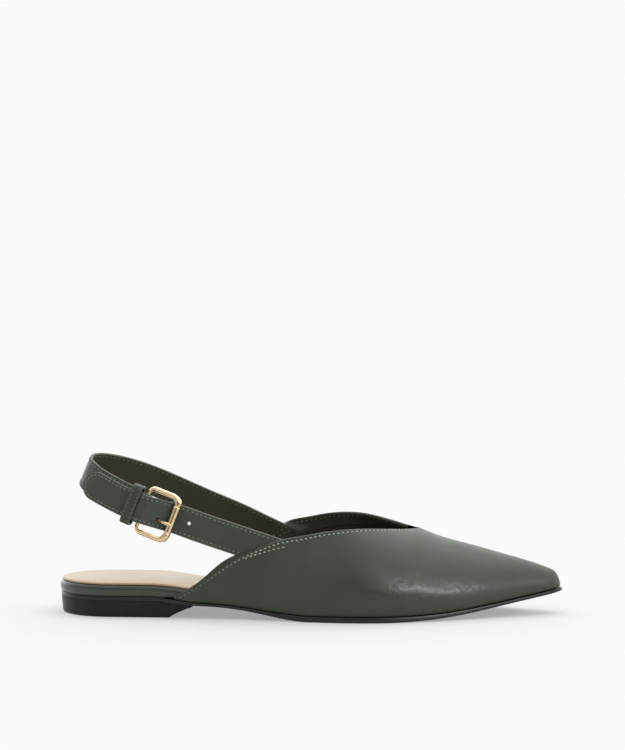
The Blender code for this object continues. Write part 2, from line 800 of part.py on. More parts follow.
def curve_tube(name, points, radii, depth, closed, surface, group):
    """A round bar along a line of points, swelling or thinning by the radii."""
    data = bpy.data.curves.new(name, "CURVE")
    data.dimensions = "3D"
    spline = data.splines.new("POLY")
    spline.points.add(len(points) - 1)
    for point, place, radius in zip(spline.points, points, radii):
        point.co = (*place, 1.0)
        point.radius = radius
    spline.use_cyclic_u = closed
    data.bevel_depth = depth
    data.bevel_resolution = 2
    data.use_fill_caps = not closed
    source = bpy.data.objects.new(name + "_line", data)
    group.objects.link(source)
    graph = bpy.context.evaluated_depsgraph_get()
    mesh = bpy.data.meshes.new_from_object(source.evaluated_get(graph))
    bpy.data.objects.remove(source)
    corners = [tuple(v.co) for v in mesh.vertices]
    faces = [tuple(p.vertices) for p in mesh.polygons]
    return add_mesh(name, corners, faces, surface, group)


def buckle_axes(line):
    """Pivot centre, bar centre and the frame's own directions."""
    bar_off = STRAP_THICKNESS / 2 + GAP + BAR_RADIUS
    pivot = line.at(0.0, -BUCKLE_DROP, PIVOT_LIFT)[0]
    bar = line.at(BUCKLE_LENGTH, -BUCKLE_DROP, bar_off + lift_at(BUCKLE_LENGTH))[0]
    forward = (bar - pivot) / np.linalg.norm(bar - pivot)
    _, ups, _ = line.axes(np.array([line.pivot - BUCKLE_LENGTH / 2]))
    up = ups[0] - forward * (ups[0] @ forward)
    up /= np.linalg.norm(up)
    return pivot, bar, forward, up, np.cross(forward, up)


def build_buckle_frame(line, group):
    """A rounded frame of round stock, thicker along the front bar and thinner along the pivot."""
    pivot, bar, forward, up, _ = buckle_axes(line)
    long = np.linalg.norm(bar - pivot)
    tall = BUCKLE_INSIDE / 2 + FRAME_RADIUS
    thin = PIVOT_RADIUS / FRAME_RADIUS
    thick = BAR_RADIUS / FRAME_RADIUS
    places = []
    radii = []
    corners = ((long, tall), (0, tall), (0, -tall), (long, -tall))
    for quarter, (x, y) in enumerate(corners):
        corner = BUCKLE_CORNER if x > 0 else PIVOT_CORNER
        centre_x = abs(x - corner)
        centre_y = y - math.copysign(corner, y)
        for turn in np.linspace(quarter, quarter + 1, 6) * math.pi / 2:
            at_x = centre_x + corner * math.cos(turn)
            at_y = centre_y + corner * math.sin(turn)
            places.append(pivot + forward * at_x + up * at_y)
            behind = np.clip(at_x / corner, 0, 1)
            ahead = np.clip((at_x - long) / corner + 1, 0, 1)
            radii.append(thin + (1 - thin) * behind + (thick - 1) * ahead)
    return curve_tube("buckle_frame", places, radii, FRAME_RADIUS, True, GOLD_METAL, group)


def build_buckle_prong(line, group, helpers):
    """An eye round the pivot and a shank that comes up through the strap to rest on the bar."""
    eye = PIVOT_RADIUS + GAP + PRONG_RADIUS
    bar_off = STRAP_THICKNESS / 2 + GAP + BAR_RADIUS + lift_at(BUCKLE_LENGTH)
    rest = bar_off + BAR_RADIUS + GAP + PRONG_RADIUS
    places = np.append(eye, BUCKLE_LENGTH * np.array(column(PRONG_BENDS, "ahead")))
    offs = np.append(PIVOT_LIFT, rest * np.array(column(PRONG_BENDS, "off")))
    fine = np.linspace(places[0], places[-1], 18)
    path = line.at(fine, -PRONG_DROP, curve_through(places, offs, fine))
    radii = 1 - 0.35 * np.clip((fine - places[-2]) / (places[-1] - places[-2]), 0, 1) ** 2
    prong = curve_tube("buckle_prong", path, radii, PRONG_RADIUS, False, GOLD_METAL, group)
    bpy.ops.mesh.primitive_torus_add(major_radius=eye, minor_radius=PRONG_RADIUS, major_segments=20, minor_segments=10)
    ring = bpy.context.object
    ring.name = "prong_eye"
    pivot, _, forward, up, out = buckle_axes(line)
    aim(ring, pivot - up * (PRONG_DROP - BUCKLE_DROP), forward, -out, up)
    join(prong, as_cutter(ring, helpers))
    return prong


def build_keeper(line, group):
    """A closed loop of strap leather round both straps, just behind the buckle."""
    where = np.array([line.pivot + KEEPER_BEHIND_PIVOT])
    forward, up, out = (axis[0] for axis in line.axes(where))
    centre = line.middle(where)[0]
    half_deep = KEEPER_THICKNESS / 2
    low = PIVOT_LIFT - FOLD_BEND - STRAP_THICKNESS / 2 - GAP - half_deep
    front = KEEPER_BEHIND_PIVOT - KEEPER_WIDTH / 2
    high = lift_at(-front) + STRAP_THICKNESS / 2 + GAP + half_deep
    top = STRAP_WIDTH / 2 + KEEPER_ABOVE + half_deep
    bottom = -STRAP_WIDTH / 2 - KEEPER_BELOW - half_deep
    corner = 1.6 * MM
    corners = ((top, high), (bottom, high), (bottom, low), (top, low))
    middle = []
    facing = []
    for quarter, (y, z) in enumerate(corners):
        centre_y = y - math.copysign(corner, y)
        centre_z = z - math.copysign(corner, z - (low + high) / 2)
        for turn in np.linspace(quarter, quarter + 1, 5) * math.pi / 2:
            direction = up * math.cos(turn) + out * math.sin(turn)
            middle.append(centre + up * centre_y + out * centre_z + direction * corner)
            facing.append(direction)
    middle = np.array(middle)
    across = np.repeat(forward[None, :], len(middle), axis=0)
    return add_ribbon(
        "keeper", middle, across, np.array(facing), KEEPER_WIDTH / 2, KEEPER_THICKNESS, LINED_LEATHER, group, True
    )


def collection(name, hidden=False):
    made = bpy.data.collections.new(name)
    bpy.context.scene.collection.children.link(made)
    made.hide_render = hidden
    return made


def main():
    for obj in list(bpy.data.objects):
        bpy.data.objects.remove(obj)
    bpy.context.scene.unit_settings.scale_length = 1.0
    group = collection("sling_back_flat")
    helpers = collection("cutters", hidden=True)
    build_outsole(group)
    build_heel(group)
    build_footbed(group)
    build_insole(group)
    build_upper(group)
    line = StrapLine()
    build_sling_strap(line, group, helpers)
    build_buckle_strap(line, group, helpers)
    build_buckle_frame(line, group)
    build_buckle_prong(line, group, helpers)
    build_keeper(line, group)
    for obj in (*group.objects, *helpers.objects):
        obj.location.x -= HEEL_MIDDLE


main()
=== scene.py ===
"""Pointed sling back flat, right shoe: the dressed model, its studio and its camera.

Every length is in metres. "Along" runs from the back of the covered insole board to the toe, and
put_mesh moves each finished piece back onto the part's own origin, under the middle of the heel.
"""

import logging
import math
from dataclasses import dataclass
from dataclasses import field
from enum import Enum

import bmesh
import bpy
import numpy as np
from mathutils import Matrix

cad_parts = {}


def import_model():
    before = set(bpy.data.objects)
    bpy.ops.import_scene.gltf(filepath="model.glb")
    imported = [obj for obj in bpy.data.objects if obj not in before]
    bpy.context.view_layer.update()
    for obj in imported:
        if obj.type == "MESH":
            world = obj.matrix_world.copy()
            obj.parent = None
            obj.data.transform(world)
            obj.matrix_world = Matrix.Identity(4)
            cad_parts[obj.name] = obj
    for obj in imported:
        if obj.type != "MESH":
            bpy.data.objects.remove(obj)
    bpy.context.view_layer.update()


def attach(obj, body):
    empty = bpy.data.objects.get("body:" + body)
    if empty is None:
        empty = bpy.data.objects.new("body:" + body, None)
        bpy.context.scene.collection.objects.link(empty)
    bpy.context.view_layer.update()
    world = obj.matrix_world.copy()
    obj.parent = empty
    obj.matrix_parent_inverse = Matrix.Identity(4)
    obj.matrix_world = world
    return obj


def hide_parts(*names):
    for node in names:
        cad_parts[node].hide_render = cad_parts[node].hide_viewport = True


MM = 0.001
HEEL_MIDDLE = 30 * MM
# A clearance too small to see, which keeps two faces from lying in each other
HAIR = 0.02 * MM
Array = np.ndarray
Material = bpy.types.Material
Piece = bpy.types.Object

logging.basicConfig(level=logging.INFO, format="%(name)s: %(message)s")
LOG = logging.getLogger("sling_back_flat")


class Side(Enum):
    """The two sides of a right shoe."""

    OUTER = -1
    INNER = 1


# Curves


def smooth_curve(places: object, values: object, where: object) -> Array:
    """A natural cubic spline: piecewise cubics whose slope and bend agree at every given place.

    Args:
        places: Rising positions of the known values.
        values: The known values.
        where: Positions at which the curve is wanted.

    Returns:
        The curve's values there.
    """
    places, values, where = (np.asarray(item, float) for item in (places, values, where))
    steps = np.diff(places)
    count = len(places)
    inner = np.arange(1, count - 1)
    system = np.eye(count)
    system[inner, inner - 1] = steps[:-1]
    system[inner, inner] = 2 * (steps[:-1] + steps[1:])
    system[inner, inner + 1] = steps[1:]
    right = np.zeros(count)
    right[1:-1] = 6 * np.diff(np.diff(values) / steps)
    bends = np.linalg.solve(system, right)
    at = np.clip(np.searchsorted(places, where) - 1, 0, count - 2)
    width = steps[at]
    left = where - places[at]
    rest = places[at + 1] - where
    cubic = (bends[at] * rest**3 + bends[at + 1] * left**3) / (6 * width)
    start = (values[at] / width - bends[at] * width / 6) * rest
    end = (values[at + 1] / width - bends[at + 1] * width / 6) * left
    return cubic + start + end


def level_curve(places: object, values: object, where: object) -> Array:
    """A monotone cubic: it never overshoots, and is level where two neighbouring values are equal.

    Args:
        places: Rising positions of the known values.
        values: The known values.
        where: Positions at which the curve is wanted.

    Returns:
        The curve's values there.
    """
    places, values, where = (np.asarray(item, float) for item in (places, values, where))
    steps = np.diff(places)
    slopes = np.diff(values) / steps
    before, after = slopes[:-1], slopes[1:]
    first = 2 * steps[1:] + steps[:-1]
    second = steps[1:] + 2 * steps[:-1]
    same = before * after > 0
    shares = first / np.where(same, before, 1) + second / np.where(same, after, 1)
    tangents = np.zeros(len(places))
    tangents[1:-1] = np.where(same, (first + second) / np.where(same, shares, 1), 0)
    tangents[-1] = slopes[-1]
    at = np.clip(np.searchsorted(places, where) - 1, 0, len(steps) - 1)
    t = (where - places[at]) / steps[at]
    rise = (3 * t**2 - 2 * t**3) * (values[at + 1] - values[at])
    swing = (t**3 - 2 * t**2 + t) * tangents[at] + (t**3 - t**2) * tangents[at + 1]
    return values[at] + rise + swing * steps[at]


def rounding(distance: Array, reach: float) -> Array:
    """1 past the reach, falling to 0 at the end as a quarter of an ellipse."""
    share = np.clip(distance / reach, 0, 1)
    return np.sqrt(np.maximum(1 - (1 - share) ** 2, 0))


def ease(value: Array, start: float, end: float) -> Array:
    """0 before start, 1 after end, and a smooth cubic step between them."""
    share = np.clip((value - start) / (end - start), 0, 1)
    return share * share * (3 - 2 * share)


def hump(value: Array, centre: float, width: float) -> Array:
    """A bell that is 1 at the centre and 1/e one width away from it."""
    return np.exp(-(((value - centre) / width) ** 2))


def unit(vectors: Array) -> Array:
    """The same directions with length 1."""
    return vectors / np.maximum(np.linalg.norm(vectors, axis=-1, keepdims=True), 1e-12)


def square_to(vectors: Array, along: Array) -> Array:
    """What is left of each vector, with length 1, without its share along another direction."""
    return unit(vectors - along * (vectors * along).sum(axis=-1, keepdims=True))


def path_marks(points: Array) -> Array:
    """The length of a path up to each of its points."""
    return np.concatenate([[0], np.cumsum(np.linalg.norm(np.diff(points, axis=0), axis=1))])


def between(where: Array, marks: Array, values: Array) -> Array:
    """Rows of values, linear between the marks of a path."""
    return np.stack([np.interp(where, marks, column) for column in values.T], axis=-1)


def circle(chords: int, radius: Array) -> Array:
    """A section for carry: a closed circle of (cos a, sin a) * radius at each step of a path."""
    turn = np.linspace(0, 2 * math.pi, chords + 1)
    return np.stack([np.cos(turn), np.sin(turn)], axis=-1)[None] * np.reshape(radius, (-1, 1, 1))


def facing_matrix(right: Array, up: Array, back: Array, place: Array) -> Matrix:
    """The world matrix of a lamp or a camera with these directions, at this place."""
    turn = np.eye(4)
    turn[:3] = np.column_stack([right, up, back, place])
    return Matrix(turn.tolist())


def columns(table: object) -> list[Array]:
    """A table's columns as arrays."""
    return list(np.asarray(table, float).T)


# Meshes


@dataclass
class Skin:
    """Points, faces and their finishes, gathered from grids before they become one mesh."""

    points: list = field(default_factory=list)
    maps: list = field(default_factory=list)
    faces: list = field(default_factory=list)
    slots: list = field(default_factory=list)
    count: int = 0

    def add_grid(self, grid: Array, chart: Array | None = None, slot: object = 0) -> "Skin":
        """Adds quads between neighbouring points of a grid.

        Args:
            grid: Points as rows by columns by 3.
            chart: UV pairs of the same shape, in metres, or None.
            slot: One finish number, or one for each strip between two columns.

        Returns:
            This skin.
        """
        rows, cols = grid.shape[:2]
        i, j = np.meshgrid(np.arange(rows - 1), np.arange(cols - 1), indexing="ij")
        corner = i * cols + j
        quads = np.stack([corner, corner + 1, corner + cols + 1, corner + cols], axis=-1)
        self.points.append(grid.reshape(-1, 3))
        self.maps.append(np.zeros((rows * cols, 2)) if chart is None else chart.reshape(-1, 2))
        self.faces.extend((quads.reshape(-1, 4) + self.count).tolist())
        self.slots.append(np.broadcast_to(slot, (rows - 1, cols - 1)).reshape(-1))
        self.count += rows * cols
        return self

    def add_ring(self, ring: Array, slot: int = 0) -> "Skin":
        """Closes an end with one flat face.

        Args:
            ring: The face's corners in order.
            slot: Its finish number.

        Returns:
            This skin.
        """
        self.points.append(ring)
        self.maps.append(np.zeros((len(ring), 2)))
        self.faces.append(list(range(self.count, self.count + len(ring))))
        self.slots.append(np.array([slot]))
        self.count += len(ring)
        return self

    def add_tube(self, grid: Array, chart: Array | None = None, slot: object = 0, end: int = 0) -> "Skin":
        """Adds a grid of closed rings, with a flat face of this finish over its first and last one."""
        return self.add_grid(grid, chart, slot).add_ring(grid[0, :-1], end).add_ring(grid[-1, :-1], end)


def put_mesh(name: str, skin: Skin, finishes: list[Material], crease: float = 42.0) -> Piece:
    """Turns a skin into an object: doubles merged, faces outwards, smooth up to the crease angle.

    Args:
        name: The piece's name.
        skin: Its closed surface, along the shoe.
        finishes: Materials, by the skin's finish numbers.
        crease: Angle in degrees past which an edge stays sharp.

    Returns:
        The new object, riding on the shoe's body.
    """
    mesh = bpy.data.meshes.new(name)
    points = np.concatenate(skin.points) - np.array([HEEL_MIDDLE, 0, 0])
    mesh.from_pydata(points.tolist(), [], skin.faces)
    corners = np.empty(len(mesh.loops), np.int32)
    mesh.loops.foreach_get("vertex_index", corners)
    chart = mesh.uv_layers.new(name="surface")
    chart.data.foreach_set("uv", np.concatenate(skin.maps)[corners].ravel().astype(np.float32))
    mesh.polygons.foreach_set("material_index", np.concatenate(skin.slots).astype(np.int32))
    work = bmesh.new()
    work.from_mesh(mesh)
    bmesh.ops.remove_doubles(work, verts=work.verts, dist=2e-6)
    bmesh.ops.dissolve_degenerate(work, edges=work.edges, dist=1e-7)
    bmesh.ops.recalc_face_normals(work, faces=work.faces)
    work.to_mesh(mesh)
    work.free()
    mesh.polygons.foreach_set("use_smooth", np.ones(len(mesh.polygons), bool))
    mesh.set_sharp_from_angle(angle=math.radians(crease))
    for finish in finishes:
        mesh.materials.append(finish)
    made = bpy.data.objects.new(name, mesh)
    bpy.context.scene.collection.objects.link(made)
    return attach(made, "root")


def carry(section: Array, middle: Array, across: Array, out: Array) -> Array:
    """Carries a section along a path: point = middle + across * first + out * second.

    Args:
        section: Section points as path steps by section points by 2.
        middle: The path's points.
        across: The section's first direction at each step.
        out: The section's second direction at each step.

    Returns:
        A grid of path steps by section points by 3.
    """
    first = across[:, None, :] * section[..., :1]
    return middle[:, None, :] + first + out[:, None, :] * section[..., 1:]


def punch(target: Piece, centre: Array, axis: Array, radius: float, deep: float) -> None:
    """Cuts a round hole with an exact Boolean, from well outside to a depth past the piece's middle.

    Args:
        target: The piece, whose last finish the hole's wall takes.
        centre: The point in the piece's middle.
        axis: The way out.
        radius: The hole's radius.
        deep: How far it goes in past the middle.
    """
    start = unit(np.cross(axis, [0.3, 0.1, 1.0]))
    path = centre + axis * np.array([[-deep], [4 * MM]])
    grid = carry(circle(48, radius), path, start[None], np.cross(axis, start)[None])
    cutter = put_mesh("hole_punch", Skin().add_tube(grid), [target.data.materials[-1]])
    cut = target.modifiers.new("hole", "BOOLEAN")
    cut.operation = "DIFFERENCE"
    cut.solver = "EXACT"
    cut.object = cutter
    graph = bpy.context.evaluated_depsgraph_get()
    target.data = bpy.data.meshes.new_from_object(target.evaluated_get(graph))
    target.modifiers.remove(cut)
    bpy.data.objects.remove(cutter)


# Finishes


def linear(code: str) -> tuple[float, float, float, float]:
    """An sRGB hex colour as linear light.

    Args:
        code: The colour as # and six hex digits.

    Returns:
        Red, green, blue and full cover.
    """
    parts = np.array([int(code[i : i + 2], 16) for i in (1, 3, 5)]) / 255
    light = np.where(parts <= 0.04045, parts / 12.92, ((parts + 0.055) / 1.055) ** 2.4)
    return (*(float(part) for part in light), 1.0)


def add_node(tree: bpy.types.NodeTree, kind: str, inputs: dict, **settings: object) -> bpy.types.Node:
    """Adds a shader node with its settings and links.

    Args:
        tree: The material's node tree.
        kind: The node's type name.
        inputs: Socket name or number to a value, or to another node's output.
        settings: The node's own properties.

    Returns:
        The new node.
    """
    made = tree.nodes.new(kind)
    for name, value in settings.items():
        setattr(made, name, value)
    for socket, value in inputs.items():
        if isinstance(value, bpy.types.NodeSocket):
            tree.links.new(value, made.inputs[socket])
        else:
            made.inputs[socket].default_value = value
    return made


@dataclass
class Shade:
    """A material under construction: its tree, its shader and the place that patterns read."""

    name: str
    tree: bpy.types.NodeTree = field(init=False)
    shader: bpy.types.Node = field(init=False)
    place: bpy.types.NodeSocket = field(init=False)
    chart: bpy.types.NodeSocket = field(init=False)
    made: Material = field(init=False)

    def __post_init__(self) -> None:
        """Makes the material, finds its shader and adds the coordinates."""
        self.made = bpy.data.materials.new(self.name)
        self.made.use_nodes = True
        self.tree = self.made.node_tree
        self.shader = self.tree.nodes["Principled BSDF"]
        coordinates = add_node(self.tree, "ShaderNodeTexCoord", {})
        self.place = coordinates.outputs["Object"]
        self.chart = coordinates.outputs["UV"]

    def add(self, kind: str, inputs: dict, **settings: object) -> bpy.types.Node:
        """Adds a node to this material."""
        return add_node(self.tree, kind, inputs, **settings)

    def noise(self, size: float, detail: float = 2.0, **inputs: object) -> bpy.types.NodeSocket:
        """A noise whose blots are about this size in metres, from 0 to 1."""
        sockets = {"Vector": self.place, "Scale": 1 / size, "Detail": detail, **inputs}
        return self.add("ShaderNodeTexNoise", sockets).outputs["Fac"]

    def spread(self, value: bpy.types.NodeSocket, low: float, high: float) -> bpy.types.NodeSocket:
        """Maps the middle of a noise's range onto low to high."""
        return self.ramp(value, (0.3, 0.7), low, high)

    def ramp(
        self, value: object, span: tuple, low: object = 0.0, high: object = 1.0, way: str = "LINEAR"
    ) -> bpy.types.NodeSocket:
        """Maps a value from a span onto low to high, and holds it there outside the span."""
        inputs = {"Value": value, "From Min": span[0], "From Max": span[1], "To Min": low, "To Max": high}
        return self.add("ShaderNodeMapRange", inputs, interpolation_type=way).outputs["Result"]

    def cells(self, size: float, randomness: float = 1.0, **settings: object) -> bpy.types.NodeSocket:
        """The distance to the nearest of scattered points, about this size apart."""
        sockets = {"Vector": self.place, "Scale": 1 / size, "Randomness": randomness}
        return self.add("ShaderNodeTexVoronoi", sockets, **settings).outputs["Distance"]

    def part(self, vector: bpy.types.NodeSocket, axis: str) -> bpy.types.NodeSocket:
        """One of a vector's three parts."""
        return self.add("ShaderNodeSeparateXYZ", {"Vector": vector}).outputs[axis]

    def mottle(self, size: float, detail: float, first: str, second: str) -> bpy.types.NodeSocket:
        """Two hex colours in blots of about this size."""
        share = self.spread(self.noise(size, detail), 0, 1)
        return self.mix(share, linear(first), linear(second))

    def mix(self, share: object, first: object, second: object) -> bpy.types.NodeSocket:
        """Mixes two colours.

        Args:
            share: How much of the second colour there is.
            first: The first colour, or a socket that gives it.
            second: The second one.

        Returns:
            The mixed colour.
        """
        made = self.add("ShaderNodeMix", {"Factor": share}, data_type="RGBA")
        for socket, value in zip(made.inputs[6:8], (first, second)):
            if isinstance(value, bpy.types.NodeSocket):
                self.tree.links.new(value, socket)
            else:
                socket.default_value = value
        return made.outputs[2]

    def bump(self, height: bpy.types.NodeSocket, depth: float, below: object = None) -> bpy.types.NodeSocket:
        """Turns a height into a bump.

        Args:
            height: A height from 0 to 1.
            depth: The real depth that it stands for.
            below: An earlier bump that this one lies over, or None.

        Returns:
            The bumped normal.
        """
        inputs = {"Height": height, "Distance": depth, "Strength": 1.0}
        if below is not None:
            inputs["Normal"] = below
        return self.add("ShaderNodeBump", inputs).outputs["Normal"]

    def dress(self, **sockets: object) -> Material:
        """Sets or links the shader's sockets.

        Args:
            sockets: Values or sockets by the shader's names, with underscores for spaces.

        Returns:
            The material.
        """
        for name, value in sockets.items():
            socket = self.shader.inputs[name.replace("_", " ")]
            if isinstance(value, bpy.types.NodeSocket):
                self.tree.links.new(value, socket)
            else:
                socket.default_value = value
        return self.made


@dataclass(frozen=True)
class SmoothLeather:
    """Full grain calf with a pigment finish, ironed smooth: a close, low pebble under a satin film."""

    name: str
    colour: str
    deep: str
    roughness: float = 0.43
    coat: float = 0.12
    pebble: float = 0.7 * MM
    pebble_depth: float = 0.016 * MM
    mottle: float = 14 * MM
    # Middle and half sizes of a patch that was buffed harder, and its roughness
    patch: tuple | None = None
    buffed: float = 0.27
    # Where its border starts and ends, and how far the mottle moves it, as shares of the half sizes
    border: tuple = (0.3, 1.2)
    unevenness: float = 0.45

    def polish(self, shade: Shade) -> bpy.types.NodeSocket:
        """The roughness: a little uneven, and lower inside the buffed patch, whose border is mottled.

        Args:
            shade: The material under construction.

        Returns:
            The socket that gives the roughness.
        """
        plain = shade.spread(shade.noise(5 * MM, 3.0), self.roughness - 0.03, self.roughness + 0.04)
        if self.patch is None:
            return plain
        middle, sizes = self.patch
        place = shade.add("ShaderNodeVectorMath", {0: shade.place, 1: middle}, operation="SUBTRACT")
        place = shade.add("ShaderNodeVectorMath", {0: place.outputs["Vector"], 1: sizes}, operation="DIVIDE")
        away = shade.add("ShaderNodeVectorMath", {0: place.outputs["Vector"]}, operation="LENGTH")
        uneven = shade.spread(shade.noise(2.2 * MM, 3.0), -self.unevenness, self.unevenness)
        away = shade.add("ShaderNodeMath", {0: away.outputs["Value"], 1: uneven}, operation="ADD")
        inside = shade.ramp(away.outputs["Value"], self.border, 1.0, 0.0, "SMOOTHSTEP")
        return shade.ramp(inside, (0, 1), plain, self.buffed)

    def make(self) -> Material:
        """The material: pebble cells and finer wrinkles as bump, and a slow mottle of colour."""
        shade = Shade(self.name)
        cells = shade.cells(self.pebble, 0.9, feature="SMOOTH_F1")
        wrinkles = shade.noise(2.4 * self.pebble, 4.0, Roughness=0.6)
        normal = shade.bump(wrinkles, 2.2 * self.pebble_depth, shade.bump(cells, self.pebble_depth))
        return shade.dress(
            Base_Color=shade.mottle(self.mottle, 3.0, self.deep, self.colour),
            Roughness=self.polish(shade),
            Normal=normal,
            IOR=1.46,
            Coat_Weight=self.coat,
            Coat_Roughness=0.32,
        )


@dataclass(frozen=True)
class FacedLining:
    """Pigskin lining, sueded: flat and matt, with the turned edge of the outer leather along its top."""

    name: str
    colour: str
    deep: str
    facing: str
    facing_width: float = 7.5 * MM
    pore: float = 1.4 * MM

    def make(self) -> Material:
        """The material: sparse pores and a fine nap, and the facing where the chart is near the edge."""
        shade = Shade(self.name)
        facing_end = (self.facing_width, self.facing_width + 0.4 * MM)
        near = shade.ramp(shade.part(shade.chart, "Y"), facing_end, 1.0, 0.0)
        cloth = shade.mottle(9 * MM, 3.0, self.deep, self.colour)
        colour = shade.mix(near, cloth, linear(self.facing))
        normal = shade.bump(shade.cells(self.pore), 0.02 * MM)
        normal = shade.bump(shade.noise(0.5 * MM, 3.0), 0.03 * MM, normal)
        normal = shade.bump(near, 0.5 * MM, normal)
        return shade.dress(Base_Color=colour, Roughness=0.72, Normal=normal, IOR=1.4)


@dataclass(frozen=True)
class SockLeather:
    """Vegetable tanned sheepskin sock: pale tan, fine pored, a little shiny where the heel rubs."""

    name: str = "sock_sheepskin"
    colour: str = "#A48C72"
    deep: str = "#9E876B"
    paler: str = "#A99D89"
    # Where the sock pales towards the inner side, and how far its mottle moves that border
    paling: tuple = (-24 * MM, 6 * MM, 8 * MM)
    pore: float = 0.9 * MM

    def make(self) -> Material:
        """The material: fine pores, a slow warm mottle that pales inwards and a gently uneven gloss."""
        shade = Shade(self.name)
        slow = shade.spread(shade.noise(16 * MM, 4.0), -0.5, 0.5)
        colour = shade.mottle(16 * MM, 4.0, self.deep, self.colour)
        start, end, drift = self.paling
        inputs = {0: slow, 1: drift, 2: shade.part(shade.place, "Y")}
        across = shade.add("ShaderNodeMath", inputs, operation="MULTIPLY_ADD").outputs["Value"]
        pale = shade.ramp(across, (start, end), way="SMOOTHSTEP")
        colour = shade.mix(pale, colour, linear(self.paler))
        normal = shade.bump(shade.cells(self.pore), 0.02 * MM)
        normal = shade.bump(shade.noise(3 * MM, 4.0), 0.05 * MM, normal)
        rough = shade.spread(shade.noise(22 * MM), 0.48, 0.58)
        return shade.dress(Base_Color=colour, Roughness=rough, Normal=normal, IOR=1.45)


@dataclass(frozen=True)
class MouldedRubber:
    """Moulded black rubber, buffed at its edge: even, faintly bluish, with a fine mould grain."""

    name: str
    colour: str
    roughness: float
    gloss: float = 0.3
    grain: float = 0.8 * MM
    grain_depth: float = 0.012 * MM

    def make(self) -> Material:
        """The material: fine mould grain as bump and a low, uneven gloss."""
        shade = Shade(self.name)
        # A tenth of the dust's colour at most
        dusty = shade.spread(shade.noise(7 * MM, 4.0), 0, 0.1)
        colour = shade.mix(dusty, linear(self.colour), linear("#3A3B3C"))
        normal = shade.bump(shade.noise(self.grain, 3.0), self.grain_depth)
        rough = shade.spread(shade.noise(4 * MM, 3.0), self.roughness - 0.03, self.roughness + 0.05)
        return shade.dress(
            Base_Color=colour,
            Roughness=rough,
            Normal=normal,
            IOR=1.52,
            Specular_IOR_Level=self.gloss,
        )


@dataclass(frozen=True)
class PlatedZinc:
    """Die cast zinc plated in pale gold and polished: a bright mirror with the faintest ripple."""

    name: str = "pale_gold_plate"
    colour: str = "#E6CDA9"
    worn: str = "#DDC29A"

    def make(self) -> Material:
        """The material: polished metal with polishing ripple and slightly duller patches."""
        shade = Shade(self.name)
        colour = shade.mottle(3 * MM, 3.0, self.colour, self.worn)
        normal = shade.bump(shade.noise(2.5 * MM, 2.0), 0.003 * MM)
        rough = shade.spread(shade.noise(2 * MM, 3.0), 0.06, 0.1)
        return shade.dress(Base_Color=colour, Metallic=1.0, Roughness=rough, Normal=normal)


@dataclass(frozen=True)
class SewingThread:
    """Bonded polyester thread, three plies: pale, slightly glossy, twisted."""

    name: str
    colour: str
    twist: float = 0.5 * MM
    # Painted shade: the darker colour of the thread where it lies in shade towards the wing's rear, and the
    # stations where that painted shade ends
    shaded_colour: str | None = None
    shade_span: tuple = (50 * MM, 74 * MM)

    def make(self) -> Material:
        """The material: the ply twist as slanted bands across each stitch, and painted shade that darkens the
        thread behind the given stations.
        """
        shade = Shade(self.name)
        bands = shade.add(
            "ShaderNodeTexWave",
            {"Vector": shade.chart, "Scale": 1.2 / (2 * math.pi * self.twist)},
            bands_direction="DIAGONAL",
        ).outputs["Fac"]
        normal = shade.bump(bands, 0.05 * MM)
        # Painted shade: 0 behind the span, where the thread takes the darker colour that stands in for shade,
        # 1 ahead of it
        unshaded = shade.ramp(shade.part(shade.place, "X"), self.shade_span)
        colour = shade.mix(unshaded, linear(self.shaded_colour or self.colour), linear(self.colour))
        return shade.dress(Base_Color=colour, Roughness=0.5, Normal=normal, IOR=1.5)


@dataclass(frozen=True)
class Finishes:
    """Every material of the shoe."""

    upper: Material
    strap: Material
    keeper: Material
    rand: Material
    edge: Material
    lining: Material
    strap_lining: Material
    sock: Material
    outsole: Material
    heel: Material
    gold: Material
    edge_thread: Material
    thread: Material
    shaded_thread: Material

    @classmethod
    def make(cls) -> "Finishes":
        """Builds each material once."""
        green, deep = "#30382C", "#2B3328"
        patch = ((169 * MM, -34 * MM, 16.5 * MM), (38 * MM, 22 * MM, 7 * MM))
        return cls(
            upper=SmoothLeather("upper_satin_calf", green, deep, 0.5, patch=patch).make(),
            strap=SmoothLeather("strap_satin_calf", "#353C32", "#2F362C", roughness=0.46).make(),
            keeper=SmoothLeather("keeper_satin_calf", "#2C332A", "#272D25", roughness=0.5).make(),
            rand=SmoothLeather("rand_satin_calf", "#323930", "#2C332A", roughness=0.24, coat=0.3).make(),
            edge=SmoothLeather("painted_leather_edge", "#4E5145", "#474A3E", roughness=0.5).make(),
            lining=FacedLining("sueded_pigskin_lining", "#27261D", "#211F18", "#2B2C23").make(),
            strap_lining=SmoothLeather("strap_olive_lining", "#2B2C1D", "#262718", 0.6, coat=0.0).make(),
            sock=SockLeather().make(),
            outsole=MouldedRubber("buffed_sole_rubber", "#121314", 0.3, gloss=0.42).make(),
            heel=MouldedRubber("moulded_heel_rubber", "#0D0E11", 0.4, gloss=0.25).make(),
            gold=PlatedZinc().make(),
            # The edge thread carries painted shade: it is darker towards the wing's rear edge
            edge_thread=SewingThread("sage_polyester_thread", "#A9AE9B", shaded_colour="#696855").make(),
            thread=SewingThread("moss_polyester_thread", "#72776A").make(),
            # A darker copy of the thread as painted shade, for the stitches inside the shoe and on the keeper
            shaded_thread=SewingThread("olive_polyester_thread", "#55574A").make(),
        )


# Stitching


